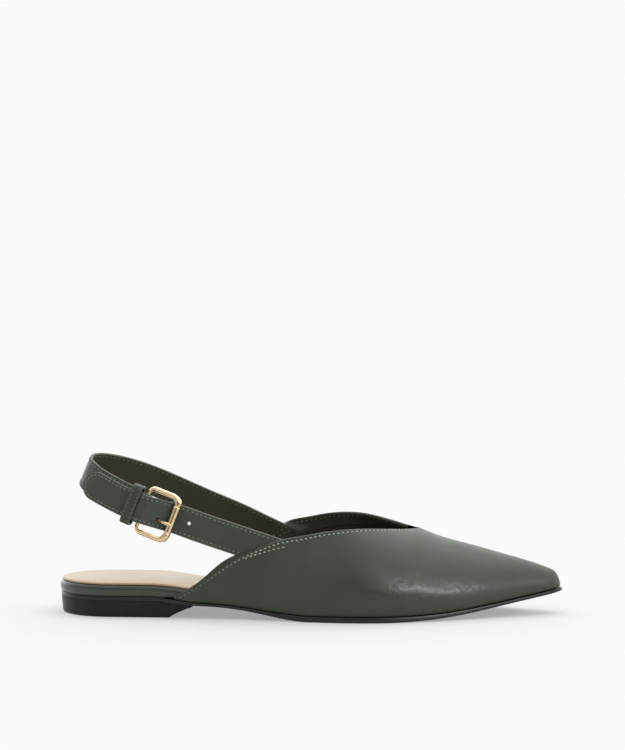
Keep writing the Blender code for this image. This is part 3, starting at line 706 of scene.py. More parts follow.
@dataclass(frozen=True)
class Stitching:
    """A row of lockstitch: short rounded floats of thread whose ends dive into their holes."""

    pitch: float = 2.5 * MM
    float_length: float = 1.4 * MM
    width: float = 0.58 * MM
    flatness: float = 0.7
    stand: float = 0.24 * MM
    sink: float = 0.12 * MM

    def add_row(self, skin: Skin, path: Array, normals: Array) -> None:
        """Lays one row of stitches along a path on a surface.

        Each float is a grid of length s from -1 to 1 by turn a: centre + along * s * half length
        + side * r * cos a + normal * (r * sin a + lift), with r and the lift falling to its ends.

        Args:
            skin: The skin that takes the stitches.
            path: Points on the surface.
            normals: The surface's outward directions there.
        """
        marks = path_marks(path)
        count = max(int(marks[-1] / self.pitch), 1)
        middle = (np.arange(count) + 0.5) * marks[-1] / count
        centre = between(middle, marks, path)
        reach = self.float_length / 2
        along = unit(between(middle + reach, marks, path) - between(middle - reach, marks, path))
        up = square_to(between(middle, marks, normals), along)
        side = np.cross(up, along)
        s = np.array([-1.0, -0.82, -0.3, 0.3, 0.82, 1.0])
        a = np.linspace(0, 2 * math.pi, 7)
        girth = np.sqrt(np.maximum(1 - s**4, 0.03))[:, None]
        lift = (self.stand * (1 - s**2) - self.sink)[:, None]
        flat = self.width / 2 * girth * np.cos(a)
        tall = self.flatness * self.width / 2 * girth * np.sin(a) + lift
        ahead = np.broadcast_to((reach * s)[:, None], flat.shape)
        grids = centre[:, None, None, :] + along[:, None, None, :] * ahead[None, ..., None]
        grids = grids + side[:, None, None, :] * flat[None, ..., None]
        grids = grids + up[:, None, None, :] * tall[None, ..., None]
        chart = np.stack([ahead, np.broadcast_to(a * self.width / 2, flat.shape)], axis=-1)
        for grid in grids:
            skin.add_tube(grid, chart)


# The last that every piece follows


@dataclass(frozen=True)
class Last:
    """The foot form: its plan, the levels of what lies under it, and their sizes."""

    length: float = 266 * MM
    ball_width: float = 72.6 * MM
    heel_height: float = 9 * MM
    heel_round: float = 27 * MM
    toe_round: float = 7 * MM
    gap: float = 0.3 * MM
    wall: float = 1.7 * MM
    ledge: float = 0.9 * MM
    outsole: float = 2.9 * MM
    board: float = 5.7 * MM
    heel_steps: int = 32
    toe_steps: int = 18
    # Along, middle line and half width, as shares of the length and of half the ball width
    plan: tuple = (
        (0.000, 0.000, 0.730),
        (0.113, -0.004, 0.740),
        (0.189, -0.014, 0.747),
        (0.234, -0.025, 0.741),
        (0.321, -0.063, 0.719),
        (0.415, -0.110, 0.766),
        (0.509, -0.124, 0.895),
        (0.585, -0.085, 1.000),
        (0.642, -0.040, 1.032),
        (0.698, 0.007, 0.996),
        (0.774, 0.056, 0.836),
        (0.849, 0.105, 0.620),
        (0.925, 0.124, 0.362),
        (0.974, 0.125, 0.200),
        (1.000, 0.124, 0.125),
    )
    # Along, underside as a share of the heel height, outsole and board as shares of their thickness
    levels: tuple = (
        (0.000, 1.000, 0.76, 1.00),
        (0.185, 1.000, 0.76, 1.00),
        (0.234, 0.910, 0.64, 1.05),
        (0.275, 0.790, 0.46, 1.06),
        (0.315, 0.740, 0.41, 0.98),
        (0.373, 0.570, 0.48, 0.80),
        (0.423, 0.320, 0.66, 0.64),
        (0.466, 0.100, 0.95, 0.50),
        (0.506, 0.000, 1.00, 0.47),
        (0.649, 0.000, 1.00, 0.44),
        (0.702, 0.030, 0.96, 0.42),
        (0.754, 0.110, 0.88, 0.41),
        (0.823, 0.345, 0.76, 0.40),
        (0.868, 0.575, 0.68, 0.38),
        (0.917, 0.840, 0.61, 0.36),
        (0.962, 1.080, 0.61, 0.34),
        (1.012, 1.365, 0.65, 0.32),
    )

    def sides(self, along: Array) -> tuple[Array, Array]:
        """Y of the plan's two sides: middle line less half width, and middle line plus half width.

        Args:
            along: Stations.

        Returns:
            The outer and the inner side.
        """
        places, middle, half = columns(self.plan)
        share = along / self.length
        centre = smooth_curve(places, middle, share)
        wide = smooth_curve(places, half, share)
        wide = wide * rounding(along, self.heel_round) * rounding(self.length - along, self.toe_round)
        return (centre - wide) * self.ball_width / 2, (centre + wide) * self.ball_width / 2

    def centre(self, along: Array) -> Array:
        """Y of the plan's middle line."""
        places, middle, _ = columns(self.plan)
        return smooth_curve(places, middle, np.clip(along / self.length, 0, 1)) * self.ball_width / 2

    def level(self, along: Array, column: int) -> Array:
        """One column of the levels table at these stations."""
        table = columns(self.levels)
        return level_curve(table[0], table[column], along / self.length)

    def underside(self, along: Array) -> Array:
        """Height of the outsole's underside."""
        return self.heel_height * self.level(along, 1)

    def outsole_top(self, along: Array) -> Array:
        """Height of the outsole's top."""
        return self.underside(along) + self.outsole * self.level(along, 2)

    def board_bottom(self, along: Array) -> Array:
        """Height of the covered board's underside."""
        return self.outsole_top(along) + self.gap

    def board_top(self, along: Array) -> Array:
        """Height of the covered board's top."""
        return self.board_bottom(along) + self.board * self.level(along, 3)

    def stations(self, steps: int = 150) -> Array:
        """Every station of the shoe, close together where the heel and the toe turn."""
        return np.concatenate([self.heel_stations(), self.toe_stations(self.heel_round, steps)])

    def heel_stations(self) -> Array:
        """Stations round the heel, without the last one."""
        turn = np.linspace(0, math.pi / 2, self.heel_steps + 1)[:-1]
        return self.heel_round * (1 - np.cos(turn))

    def toe_stations(self, start: float, steps: int) -> Array:
        """Stations to the tip, close together where the toe turns.

        Args:
            start: The first station.
            steps: How many there are on the straight stretch before the toe turns.

        Returns:
            The stations.
        """
        straight = np.linspace(start, self.length - self.toe_round, steps + 1)[:-1]
        turn = np.linspace(0, math.pi / 2, self.toe_steps + 1)
        return np.concatenate([straight, self.length - self.toe_round * (1 - np.sin(turn))])


@dataclass(frozen=True)
class Plate:
    """A closed plate with the last's outline, such as a sole: side rows between two flat grids."""

    last: Last
    stations: Array
    rows: tuple
    low: object
    high: object
    spread: object
    low_relief: object = None
    high_relief: object = None
    lanes: int = 25

    def outline(self) -> tuple[Array, Array]:
        """The plan's two sides.

        Returns:
            The outer and the inner side: plan points, with their outward directions beside them.
        """
        outer, inner = self.last.sides(self.stations)
        there = np.column_stack([self.stations, outer])
        home = np.column_stack([self.stations, inner])
        ring = np.concatenate([there, home[::-1]])
        ahead = np.gradient(ring, axis=0)
        normals = unit(np.column_stack([ahead[:, 1], -ahead[:, 0]]))
        count = len(self.stations)
        # At the tips both sides share one direction, straight back or straight ahead
        return np.hstack([there, normals[:count]]), np.hstack([home, normals[count:][::-1]])

    def row(self, side: Array, offset: float, share: float) -> Array:
        """One row of a side: plan point + outward * offset, at a share of the plate's height.

        Args:
            side: Plan points and outward directions.
            offset: How far out the row lies.
            share: Its share of the way from the low to the high face.

        Returns:
            The row's points.
        """
        normals = side[:, 2:].copy()
        if self.stations[0] == 0:
            normals[0] = (-1, 0)
        if abs(self.stations[-1] - self.last.length) < 1e-9:
            normals[-1] = (1, 0)
        plan = side[:, :2] + normals * (offset + self.spread(side[:, 0]))[:, None]
        place = np.clip(plan[:, 0], self.stations[0], None)
        height = self.low(place) + (self.high(place) - self.low(place)) * share
        return np.column_stack([plan, height])

    def cap(self, outer: Array, inner: Array, relief: object) -> Array:
        """A flat face: a grid across from one side to the other, close together near both.

        Args:
            outer: The outer side's row at this face.
            inner: The inner side's.
            relief: What lifts a point by its place and its distance from the edge, or None.

        Returns:
            The grid.
        """
        share = (1 - np.cos(np.linspace(0, math.pi, self.lanes))) / 2
        grid = outer[:, None, :] * (1 - share)[None, :, None] + inner[:, None, :] * share[None, :, None]
        if relief is not None:
            width = np.linalg.norm(inner - outer, axis=1)[:, None]
            distance = np.minimum(share, 1 - share)[None, :] * width
            grid[..., 2] += relief(grid[..., 0], grid[..., 1], distance)
        return grid

    def skin(self) -> Skin:
        """The whole closed surface.

        Returns:
            Both sides, both faces, and a wall at the front where the plate ends short of the toe.
        """
        outer, inner = self.outline()
        there = np.stack([self.row(outer, *row) for row in self.rows], axis=1)
        home = np.stack([self.row(inner, *row) for row in self.rows], axis=1)
        made = Skin().add_grid(there).add_grid(home)
        made.add_grid(self.cap(there[:, 0], home[:, 0], self.low_relief))
        made.add_grid(self.cap(there[:, -1], home[:, -1], self.high_relief))
        if self.stations[-1] < self.last.length - MM:
            span = np.linspace(0, 1, 9)[:, None, None]
            made.add_grid(there[-1][None] * (1 - span) + home[-1][None] * span)
        return made


# Sole, heel and footbed


@dataclass
class Bottom:
    """Outsole and heel."""

    last: Last
    finishes: Finishes
    heel_inset: float = 0.5 * MM
    widening: tuple = (55 * MM, 63 * MM)
    breast_foot: float = 60.2 * MM
    breast_top: float = 73.2 * MM
    breast_clearance: float = 0.9 * MM
    breast_bow: float = 0.8
    channel_in: float = 3.6 * MM
    channel_half: float = 0.5 * MM
    channel_depth: float = 0.35 * MM
    # Where the ribs start and end in full, how they fade there and at the tread's edge
    rib_start: tuple = (118 * MM, 124 * MM)
    rib_end: tuple = (196 * MM, 204 * MM)
    rib_border: tuple = (5.5 * MM, 7 * MM)
    rib_slant: float = 0.15
    rib_depth: float = 0.2 * MM
    rib_pitch: float = 3.4 * MM

    def spread(self, along: Array) -> Array:
        """How far the outsole stands out: under the board at the heel, past the upper ahead."""
        wide = self.heel_inset + self.last.ledge + self.last.gap + self.last.wall
        return -self.heel_inset + ease(along, *self.widening) * wide

    def tread(self, along: Array, across: Array, distance: Array) -> Array:
        """A shallow channel round the tread, and fine cross ribs under the ball.

        Args:
            along: Stations of the tread's points.
            across: Their places across.
            distance: How far they lie from the edge.

        Returns:
            How far the rubber is cut in: depth * (half + half cos(2 pi x / pitch)) ** 3 for a rib.
        """
        channel = self.channel_depth * hump(distance, self.channel_in, self.channel_half)
        ball = ease(along, *self.rib_start) * (1 - ease(along, *self.rib_end))
        wave = np.cos(2 * math.pi * (along + self.rib_slant * across) / self.rib_pitch)
        ribs = self.rib_depth * (0.5 + 0.5 * wave) ** 3
        return channel + ribs * ball * ease(distance, *self.rib_border)

    def outsole(self) -> Piece:
        """The outsole, with a bevelled foot, a buffed side and a lip under the upper's edge.

        Returns:
            The piece.
        """
        # Out from the outline, and share of the thickness
        rows = (
            (-0.32 * MM, 0.0),
            (-0.13 * MM, 0.04),
            (-0.03 * MM, 0.11),
            (0.0, 0.2),
            (0.0, 0.50),
            (-0.05 * MM, 0.60),
            (-0.16 * MM, 0.64),
            (-0.04 * MM, 0.69),
            (-0.17 * MM, 0.88),
            (-0.25 * MM, 0.96),
            (-0.45 * MM, 1.0),
        )
        last = self.last
        plate = Plate(last, last.stations(), rows, last.underside, last.outsole_top, self.spread, self.tread)
        made = put_mesh("dressed_outsole", plate.skin(), [self.finishes.outsole])
        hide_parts("outsole")
        return made

    def heel_bottom(self, along: Array) -> Array:
        """Flat on the floor, then up the breast in a shallow hollow: top * share ** bow.

        Args:
            along: Stations.

        Returns:
            The height of the block's underside.
        """
        share = np.clip((along - self.breast_foot) / (self.breast_top - self.breast_foot), 0, 1)
        top = float(self.last.underside(np.array([self.breast_top]))[0]) - self.breast_clearance
        return top * share**self.breast_bow

    def heel(self) -> Piece:
        """The heel block, rounded at its foot and seated close under the outsole.

        Returns:
            The piece.
        """
        # Out from the outline, and share of the height
        rows = (
            (-2.1 * MM, 0.0),
            (-1.6 * MM, 0.03),
            (-1.3 * MM, 0.09),
            (-1.15 * MM, 0.18),
            (-1.05 * MM, 0.28),
            (-0.95 * MM, 0.42),
            (-0.8 * MM, 0.6),
            (-0.62 * MM, 0.85),
            (-0.53 * MM, 0.95),
            (-0.6 * MM, 1.0),
        )
        flat = np.linspace(self.last.heel_round, self.breast_foot, 30)[:-1]
        breast = np.linspace(self.breast_foot, self.breast_top, 24)
        stations = np.concatenate([self.last.heel_stations(), flat, breast])

        def top(along: Array) -> Array:
            """Height of the heel's seat, a hair under the outsole."""
            return self.last.underside(along) - HAIR

        plate = Plate(self.last, stations, rows, self.heel_bottom, top, np.zeros_like)
        made = put_mesh("dressed_heel", plate.skin(), [self.finishes.heel])
        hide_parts("heel")
        return made


@dataclass
class Footbed:
    """The covered insole board and the sock on it."""

    last: Last
    finishes: Finishes
    relief_start: float = 215 * MM
    relief: float = 1.6 * MM
    sock: float = 1.0 * MM
    sock_inset: float = 1.2 * MM
    # The cover's rounded shoulder: its radius inwards, and the share of the height where it starts
    cover_round: float = 1.5 * MM
    cover_start: float = 0.56
    # The heel's hollow in the sock: its station, reach, soft border and depth
    hollow: tuple = (32 * MM, 30 * MM, 14 * MM, 0.35 * MM)
    # The roll round the sock's edge: where it starts, where it ends, and its height
    roll: tuple = (MM, 4 * MM, 0.12 * MM)

    def draw_in(self, along: Array) -> Array:
        """Draws the board in near the toe, where the upper closes over it."""
        span = self.last.length - self.relief_start
        return -self.relief * np.clip((along - self.relief_start) / span, 0, 1)

    def rand(self) -> Piece:
        """The board in its leather cover, full and rounded where it shows round the heel.

        Returns:
            The piece.
        """
        turn = np.radians(np.linspace(0, 90, 8))
        inwards = self.cover_round * (1 - np.cos(turn))
        upwards = self.cover_start + (1 - self.cover_start) * np.sin(turn)
        shoulder = zip(-inwards, upwards)
        # Out from the outline, and share of the height
        rows = (
            (-1.5 * MM, 0.0),
            (-0.95 * MM, 0.02),
            (-0.55 * MM, 0.09),
            (-0.28 * MM, 0.2),
            (-0.1 * MM, 0.34),
            (0.0, 0.46),
            *shoulder,
        )
        last = self.last

        def seat(along: Array) -> Array:
            """Underside of the cover, a hair above the outsole."""
            return last.outsole_top(along) + HAIR

        plate = Plate(last, last.stations(), rows, seat, last.board_top, self.draw_in)
        made = put_mesh("leather_rand", plate.skin(), [self.finishes.rand])
        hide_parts("footbed")
        return made

    def dish(self, along: Array, across: Array, distance: Array) -> Array:
        """The sock's own relief: a faint hollow under the heel and a faint roll round the edge.

        Args:
            along: Stations of the sock's points.
            across: Their places across, which change nothing.
            distance: How far they lie from the edge.

        Returns:
            Their heights over the flat sock.
        """
        station, reach, border, depth = self.hollow
        start, end, height = self.roll
        hollow = hump(along, station, reach) * ease(distance, 0, border)
        return -depth * hollow + height * (1 - ease(distance, 0, end)) * ease(distance, 0, start)

    def insole(self) -> Piece:
        """The sock, with a soft cut edge.

        Returns:
            The piece.
        """
        inset = -self.sock_inset
        # Out from the outline, and share of the thickness
        rows = (
            (inset - 0.15 * MM, 0.0),
            (inset, 0.15),
            (inset, 0.6),
            (inset - 0.08 * MM, 0.82),
            (inset - 0.28 * MM, 0.96),
            (inset - 0.5 * MM, 1.0),
        )

        def low(along: Array) -> Array:
            """Underside of the sock, a hair above the board."""
            return self.last.board_top(along) + self.last.gap

        def high(along: Array) -> Array:
            """Top of the sock."""
            return low(along) + self.sock

        stations = self.last.stations()
        plate = Plate(self.last, stations, rows, low, high, self.draw_in, high_relief=self.dish)
        made = put_mesh("sheepskin_sock", plate.skin(), [self.finishes.sock])
        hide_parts("insole")
        return made


# Upper


@dataclass(frozen=True)
class Fold:
    """One soft trough in the leather, or a ridge where its depth is negative: a long bell."""

    # The middle's station and its height below the top edge, and the slant in degrees
    along: float
    below: float
    slant: float
    length: float
    width: float
    depth: float


@dataclass
class Upper:
    """The pointed upper: two sides that meet along the toe's ridge, lined and edge stitched."""

    last: Last
    finishes: Finishes
    collar_height: float = 50 * MM
    outer_tip: float = 63 * MM
    inner_tip: float = 71 * MM
    wing_front: float = 186 * MM
    toe_top_round: float = 4.4 * MM
    edge_round: float = 0.6 * MM
    # How far behind the V the edge starts to lose its round, and how far behind it is flat
    notch_run: float = 8 * MM
    notch_flat: float = 0.2 * MM
    stitch_inset: float = 1.35 * MM
    # How far the stitched row ends ahead of the wing's tip and behind the V
    row_ends: tuple = (2 * MM, 3 * MM)
    # The second row over the strap's end: its stations, and its insets there
    second_span: tuple = (99.5 * MM, 123 * MM)
    second_insets: tuple = (2.2 * MM, 4.1 * MM)
    # The lining swells over the strap's end: depth, half width and soft border
    pocket_depth: float = 3.1 * MM
    pocket_half: float = 8.4 * MM
    pocket_border: float = 3.5 * MM
    pocket_end: tuple = (126 * MM, 133 * MM)
    # The lining shows behind the outer wing: station, half length, leather drawn back, lining raised
    tab: tuple = (91 * MM, 13 * MM, 2.3 * MM, 0.3 * MM)
    # How far down that reaches, and the share of it past which the rim is lining
    tab_depth: float = 9 * MM
    tab_least: float = 0.15
    # Bead at the edge: height, middle and half width. Groove under the stitches: depth, half width
    bead: tuple = (0.14 * MM, 0.9 * MM, 0.8 * MM)
    groove: tuple = (0.16 * MM, 0.5 * MM)
    # The chart grows by a run this long between these two places past the V, where no edge is
    past_span: tuple = (-0.5 * MM, 1.5 * MM)
    past_run: float = 60 * MM
    # At the tip: the share of the last column's direction, and of the way straight ahead
    tip_blend: tuple = (0.3, 0.95)
    # How far the leather is tucked in at the sole, and how fast that fades upwards
    tuck: tuple = (0.45 * MM, 0.7 * MM)
    # How far each column's curve keeps its foot's and its edge's direction, as shares of its rise
    foot_pull: float = 0.45
    edge_pull: float = 0.3
    ridge_pull: float = 0.12
    # The edge's leans between which the vamp starts to roll over
    rolling: tuple = (20.0, 42.0)
    # How much closer together the rows lie near the top edge
    crowding: float = 1.6
    wing_steps: int = 120
    vamp_steps: int = 60
    lanes: int = 58
    # Along, then out and up for the outer and the inner edge, as shares, and the edge's lean
    edges: tuple = (
        (0.230, 0.821, 0.238, 0.769, 0.230, 0),
        (0.247, 0.824, 0.270, 0.764, 0.230, 1),
        (0.266, 0.827, 0.326, 0.757, 0.240, 2),
        (0.298, 0.833, 0.458, 0.748, 0.328, 3),
        (0.331, 0.834, 0.610, 0.747, 0.446, 5),
        (0.366, 0.833, 0.712, 0.753, 0.590, 7),
        (0.408, 0.825, 0.786, 0.765, 0.762, 9),
        (0.448, 0.813, 0.856, 0.777, 0.902, 12),
        (0.491, 0.809, 0.898, 0.788, 0.958, 16),
        (0.526, 0.807, 0.936, 0.792, 0.995, 22),
        (0.562, 0.791, 0.963, 0.775, 1.018, 32),
        (0.592, 0.745, 0.976, 0.730, 1.023, 45),
        (0.619, 0.663, 0.976, 0.640, 1.015, 56),
        (0.652, 0.489, 0.960, 0.459, 0.992, 68),
        (0.684, 0.256, 0.938, 0.245, 0.964, 80),
        (0.722, 0.000, 0.916, 0.000, 0.916, 88),
    )
    # Along, height as a share of the collar height, and the shoulder's fullness
    ridge: tuple = (
        (0.722, 0.916, 0.62),
        (0.762, 0.830, 0.58),
        (0.823, 0.738, 0.55),
        (0.892, 0.634, 0.55),
        (0.962, 0.525, 0.58),
        (1.008, 0.430, 0.60),
    )
    # Along, and the lean of the upper's foot in degrees
    swells: tuple = ((0.22, 2), (0.40, 5), (0.60, 12), (0.80, 14), (1.01, 10))
    folds: tuple = (
        Fold(188 * MM, 24 * MM, 12, 26 * MM, 4.5 * MM, 0.22 * MM),
        Fold(206 * MM, 21 * MM, 8, 20 * MM, 3.5 * MM, 0.16 * MM),
        Fold(176 * MM, 31 * MM, 16, 18 * MM, 4 * MM, -0.14 * MM),
        Fold(150 * MM, 22 * MM, -58, 20 * MM, 6 * MM, 0.16 * MM),
        Fold(138 * MM, 18 * MM, -52, 22 * MM, 7 * MM, -0.14 * MM),
        Fold(122 * MM, 20 * MM, -40, 24 * MM, 8 * MM, 0.16 * MM),
    )

    @property
    def throat(self) -> float:
        """Station of the V's point."""
        return self.edges[-1][0] * self.last.length

    def top(self, along: Array, side: Side) -> tuple[Array, Array, Array, Array]:
        """The top line: the edge behind the V, and the ridge ahead of it.

        Args:
            along: Stations.
            side: Outer or inner.

        Returns:
            Across, up, the lean in degrees, and the shoulder's fullness.
        """
        table = columns(self.edges)
        crest = columns(self.ridge)
        first = 1 if side is Side.OUTER else 3
        share = along / self.last.length
        back = np.clip(share, table[0][0], table[0][-1])
        out = np.maximum(smooth_curve(table[0], table[first], back), 0) * self.last.ball_width / 2
        up = smooth_curve(table[0], table[first + 1], back) * self.collar_height
        lean = level_curve(table[0], table[5], back)
        front = np.clip(share, crest[0][0], crest[0][-1])
        height = smooth_curve(crest[0], crest[1], front) * self.collar_height
        shoulder = smooth_curve(crest[0], crest[2], front)
        ahead = share > table[0][-1] - 1e-6
        across = np.where(ahead, np.maximum(self.last.centre(along), 0), side.value * out)
        drop = self.edge_round * (1 - ease(along, self.throat - self.notch_run, self.throat))
        return across, np.where(ahead, height, up - drop), np.where(ahead, 90.0, lean), shoulder

    def side_grid(self, side: Side) -> Array:
        """The outer face of one side: a cubic curve in each column, from the sole up to the top line.

        Args:
            side: Outer or inner.

        Returns:
            Points as columns along the shoe by rows upwards by 3.
        """
        last = self.last
        tip = self.outer_tip if side is Side.OUTER else self.inner_tip
        back = np.linspace(tip, self.wing_front, self.wing_steps)
        stations = np.concatenate([back, last.toe_stations(self.throat, self.vamp_steps)])
        outer, inner = (np.column_stack([stations, side_y]) for side_y in last.sides(stations))
        ring = np.concatenate([outer, inner[::-1][1:]])
        ahead = np.gradient(ring, axis=0)
        ring = ring + unit(np.column_stack([ahead[:, 1], -ahead[:, 0]])) * (last.wall + last.gap)
        count = len(stations)
        plan = ring[:count] if side is Side.OUTER else ring[::-1][:count]
        middle = (ring[:count, 0] + ring[::-1][:count, 0]) / 2
        foot = np.column_stack([plan, last.outsole_top(plan[:, 0]) + last.gap])
        across, up, lean, shoulder = self.top(middle, side)
        end = ring[count - 1]
        closing = rounding(end[0] - middle, self.toe_top_round)
        bottom = foot[:, 2]
        up = bottom + (up - bottom) * closing
        across = end[1] + (across - end[1]) * np.where(closing < 1, closing, 1)
        top = np.column_stack([np.where(lean < 90, plan[:, 0], middle), across, up])
        rise = (top[:, 2] - bottom)[:, None]
        span = np.abs(top[:, 1] - foot[:, 1])[:, None]
        swell = np.radians(smooth_curve(*columns(self.swells), stations / last.length))
        heading = np.column_stack([0 * swell, side.value * np.sin(swell), np.cos(swell)])
        turn = np.radians(lean)[:, None]
        over = shoulder[:, None] * span + self.ridge_pull * rise * np.cos(turn)
        rolled = ease(lean, *self.rolling)[:, None]
        reach = self.edge_pull * rise * (1 - rolled) + over * rolled
        slope = np.concatenate([0 * turn, side.value * np.sin(turn), -np.cos(turn)], axis=1)
        parts = (foot, foot + heading * rise * self.foot_pull, top + slope * reach, top)
        t = (1 - (1 - np.linspace(0, 1, self.lanes)) ** self.crowding)[None, :, None]
        weights = ((1 - t) ** 3, 3 * t * (1 - t) ** 2, 3 * t**2 * (1 - t), t**3)
        return sum(weight * part[:, None, :] for weight, part in zip(weights, parts))

    def chart(self, grid: Array) -> Array:
        """The chart of a side, which its stitches, its bead and the lining's facing follow.

        Args:
            grid: The side's points.

        Returns:
            The station along, and the distance square to the top edge; past the V it grows at once.
        """
        steps = np.linalg.norm(np.diff(grid, axis=1), axis=2)
        down = np.cumsum(steps[:, ::-1], axis=1)[:, ::-1]
        below = np.concatenate([down, np.zeros((len(grid), 1))], axis=1)
        edge = np.gradient(grid[:, -1], axis=0)
        flat = np.linalg.norm(edge[:, :2], axis=1) / np.maximum(np.linalg.norm(edge, axis=1), 1e-9)
        past = ease(grid[:, -1, 0] - self.throat, *self.past_span) * self.past_run
        return np.stack([grid[..., 0], below * flat[:, None] + past[:, None]], axis=-1)

    def normals(self, grid: Array, other: Array, side: Side) -> Array:
        """Outward directions of a side, taken across the ridge and the tip from the other side.

        Args:
            grid: The side's points.
            other: The other side's.
            side: Outer or inner.

        Returns:
            A direction for each point.
        """
        upwards = np.gradient(grid, axis=1)
        ahead = grid[:, -1, 0] > self.throat - 1e-5
        wide = min(len(grid), len(other))
        upwards[ahead, -1] = (other[-wide:, -2] - grid[-wide:, -2])[ahead[-wide:]] / 2
        onwards = np.gradient(grid, axis=0)
        onwards[-1] = (other[-2] - grid[-2]) / 2
        facing = unit(np.cross(onwards, upwards) * -side.value)
        own, straight = self.tip_blend
        facing[-1] = facing[-2] * own + np.array([straight, 0, 0])
        facing[-1, :, 1] = 0
        return unit(facing)

    def relief(self, grid: Array, chart: Array) -> Array:
        """The worked leather: a bead at the edge, a groove under its stitches, a tuck and soft folds.

        Args:
            grid: The side's points.
            chart: Their chart.

        Returns:
            The height over the side; a fold is -depth * exp(-(l / length)^2 - (w / width)^2).
        """
        below = chart[..., 1]
        height, middle, half = self.bead
        depth, narrow = self.groove
        tuck, fade = self.tuck
        made = height * hump(below, middle, half) - depth * hump(below, self.stitch_inset, narrow)
        made = made - tuck * np.exp(-(grid[..., 2] - grid[:, :1, 2]) / fade)
        for fold in self.folds:
            slant = math.radians(fold.slant)
            x, y = grid[..., 0] - fold.along, grid[:, -1:, 2] - grid[..., 2] - fold.below
            long = x * math.cos(slant) - y * math.sin(slant)
            wide = x * math.sin(slant) + y * math.cos(slant)
            made = made - fold.depth * hump(long, 0, fold.length) * hump(wide, 0, fold.width)
        return made

    def edge_rim(self, outside: Array, inside: Array) -> Array:
        """The turned top edge: half an ellipse in each column, which flattens towards the V.

        Args:
            outside: The outer face.
            inside: The inner face.

        Returns:
            The rim, from the outer to the inner face.
        """
        centre = (outside[:, -1] + inside[:, -1]) / 2
        arm = outside[:, -1] - centre
        lift = unit(outside[:, -1] - outside[:, -3])
        lift = square_to(lift, unit(arm))
        flatter = ease(outside[:, -1, 0], self.throat - self.notch_run, self.throat - self.notch_flat)
        bulge = lift * (self.edge_round * (1 - flatter))[:, None]
        turn = np.linspace(0, math.pi, 9)[None, :, None]
        return centre[:, None] + arm[:, None] * np.cos(turn) + bulge[:, None] * np.sin(turn)

    def row_at(
        self, grid: Array, facing: Array, chart: Array, span: tuple, insets: tuple
    ) -> tuple[Array, Array]:
        """A row under the top edge, whose inset runs evenly from the first to the last station.

        Args:
            grid: The face that the row lies on.
            facing: Its outward directions.
            chart: Its chart.
            span: The first and the last station.
            insets: The distance under the edge at those two.

        Returns:
            The row's points and outward directions, linear between the grid's points.
        """
        along = grid[:, -1, 0]
        kept = (along >= span[0]) & (along <= span[1]) & (chart[..., 1].max(axis=1) > max(insets))
        below = chart[kept, :, 1]
        inset = np.interp(along[kept], span, insets)
        at = np.clip((below > inset[:, None]).sum(axis=1) - 1, 0, grid.shape[1] - 2)
        row = np.arange(len(below))
        first, second = below[row, at], below[row, at + 1]
        share = np.clip((first - inset) / np.maximum(first - second, 1e-9), 0, 1)[:, None]
        place, normal = (
            item[kept][row, at] * (1 - share) + item[kept][row, at + 1] * share for item in (grid, facing)
        )
        return place, unit(normal)

    def pocket(self, grid: Array, line: "SlingLine", side: Side) -> Array:
        """How far the lining stands in over the strap's end, by the distance from the strap's middle.

        Args:
            grid: The side's points.
            line: The sling's line.
            side: Outer or inner.

        Returns:
            The depth at each point.
        """
        marks = np.linspace(0 if side is Side.OUTER else line.end, line.pivot, 300)
        middle = line.middle(marks)
        order = np.argsort(middle[:, 0])
        height = np.interp(grid[..., 0], middle[order, 0], middle[order, 2])
        off = np.abs(grid[..., 2] - height)
        over = 1 - ease(off, self.pocket_half, self.pocket_half + self.pocket_border)
        return self.pocket_depth * over * (1 - ease(grid[..., 0], *self.pocket_end))

    def build(self, line: "SlingLine") -> list[Piece]:
        """The lined shell and its stitches.

        Args:
            line: The sling's line, whose ends the lining covers.

        Returns:
            The shell, and the stitches outside and inside.
        """
        grids = {side: self.side_grid(side) for side in Side}
        skin = Skin()
        outside_rows, inside_rows = Skin(), Skin()
        stitching = Stitching()
        for side in Side:
            base = grids[side]
            other = grids[Side.INNER if side is Side.OUTER else Side.OUTER]
            facing = self.normals(base, other, side)
            chart = self.chart(base)
            outside = base + facing * self.relief(base, chart)[..., None]
            inside = base - facing * (self.last.wall + self.pocket(base, line, side))[..., None]
            inside[..., 2] = np.maximum(inside[..., 2], base[:, :1, 2])
            station, length, short, proud = self.tab
            tab = hump(base[:, -1, 0], station, length) * (side is Side.OUTER)
            square = unit(np.cross(facing[:, -1], np.gradient(base[:, -1], axis=0))) * -side.value
            shift = square[:, None] * (tab[:, None] * (1 - ease(chart[..., 1], 0, self.tab_depth)))[..., None]
            outside -= shift * short
            inside += shift * proud
            skin.add_grid(outside, chart, 0).add_grid(inside, chart, 1)
            rim = self.edge_rim(outside, inside)
            behind = base[:, -1, 0] < self.throat + 1e-5
            # The rim's inner half is lining, and all but its first strip where the lining shows
            strip = np.arange(rim.shape[1] - 1)
            lined = (strip > 3) | ((tab[behind][1:, None] > self.tab_least) & (strip > 0))
            skin.add_grid(rim[behind], None, lined.astype(int))
            skin.add_grid(np.stack([outside[:, 0], inside[:, 0]], axis=1), None, 0)
            skin.add_grid(np.stack([outside[0], inside[0]], axis=1), None, 0)
            wing = self.outer_tip if side is Side.OUTER else self.inner_tip
            long = (wing + self.row_ends[0], self.throat - self.row_ends[1])
            for span, insets in ((long, (self.stitch_inset,) * 2), (self.second_span, self.second_insets)):
                stitching.add_row(outside_rows, *self.row_at(outside, facing, chart, span, insets))
                stitching.add_row(inside_rows, *self.row_at(inside, -facing, chart, span, insets))
        shell = put_mesh("lined_upper", skin, [self.finishes.upper, self.finishes.lining])
        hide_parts("upper")
        outer_row = put_mesh("upper_edge_stitches", outside_rows, [self.finishes.edge_thread])
        inner_row = put_mesh("lining_edge_stitches", inside_rows, [self.finishes.shaded_thread])
        return [shell, outer_row, inner_row]


# Straps


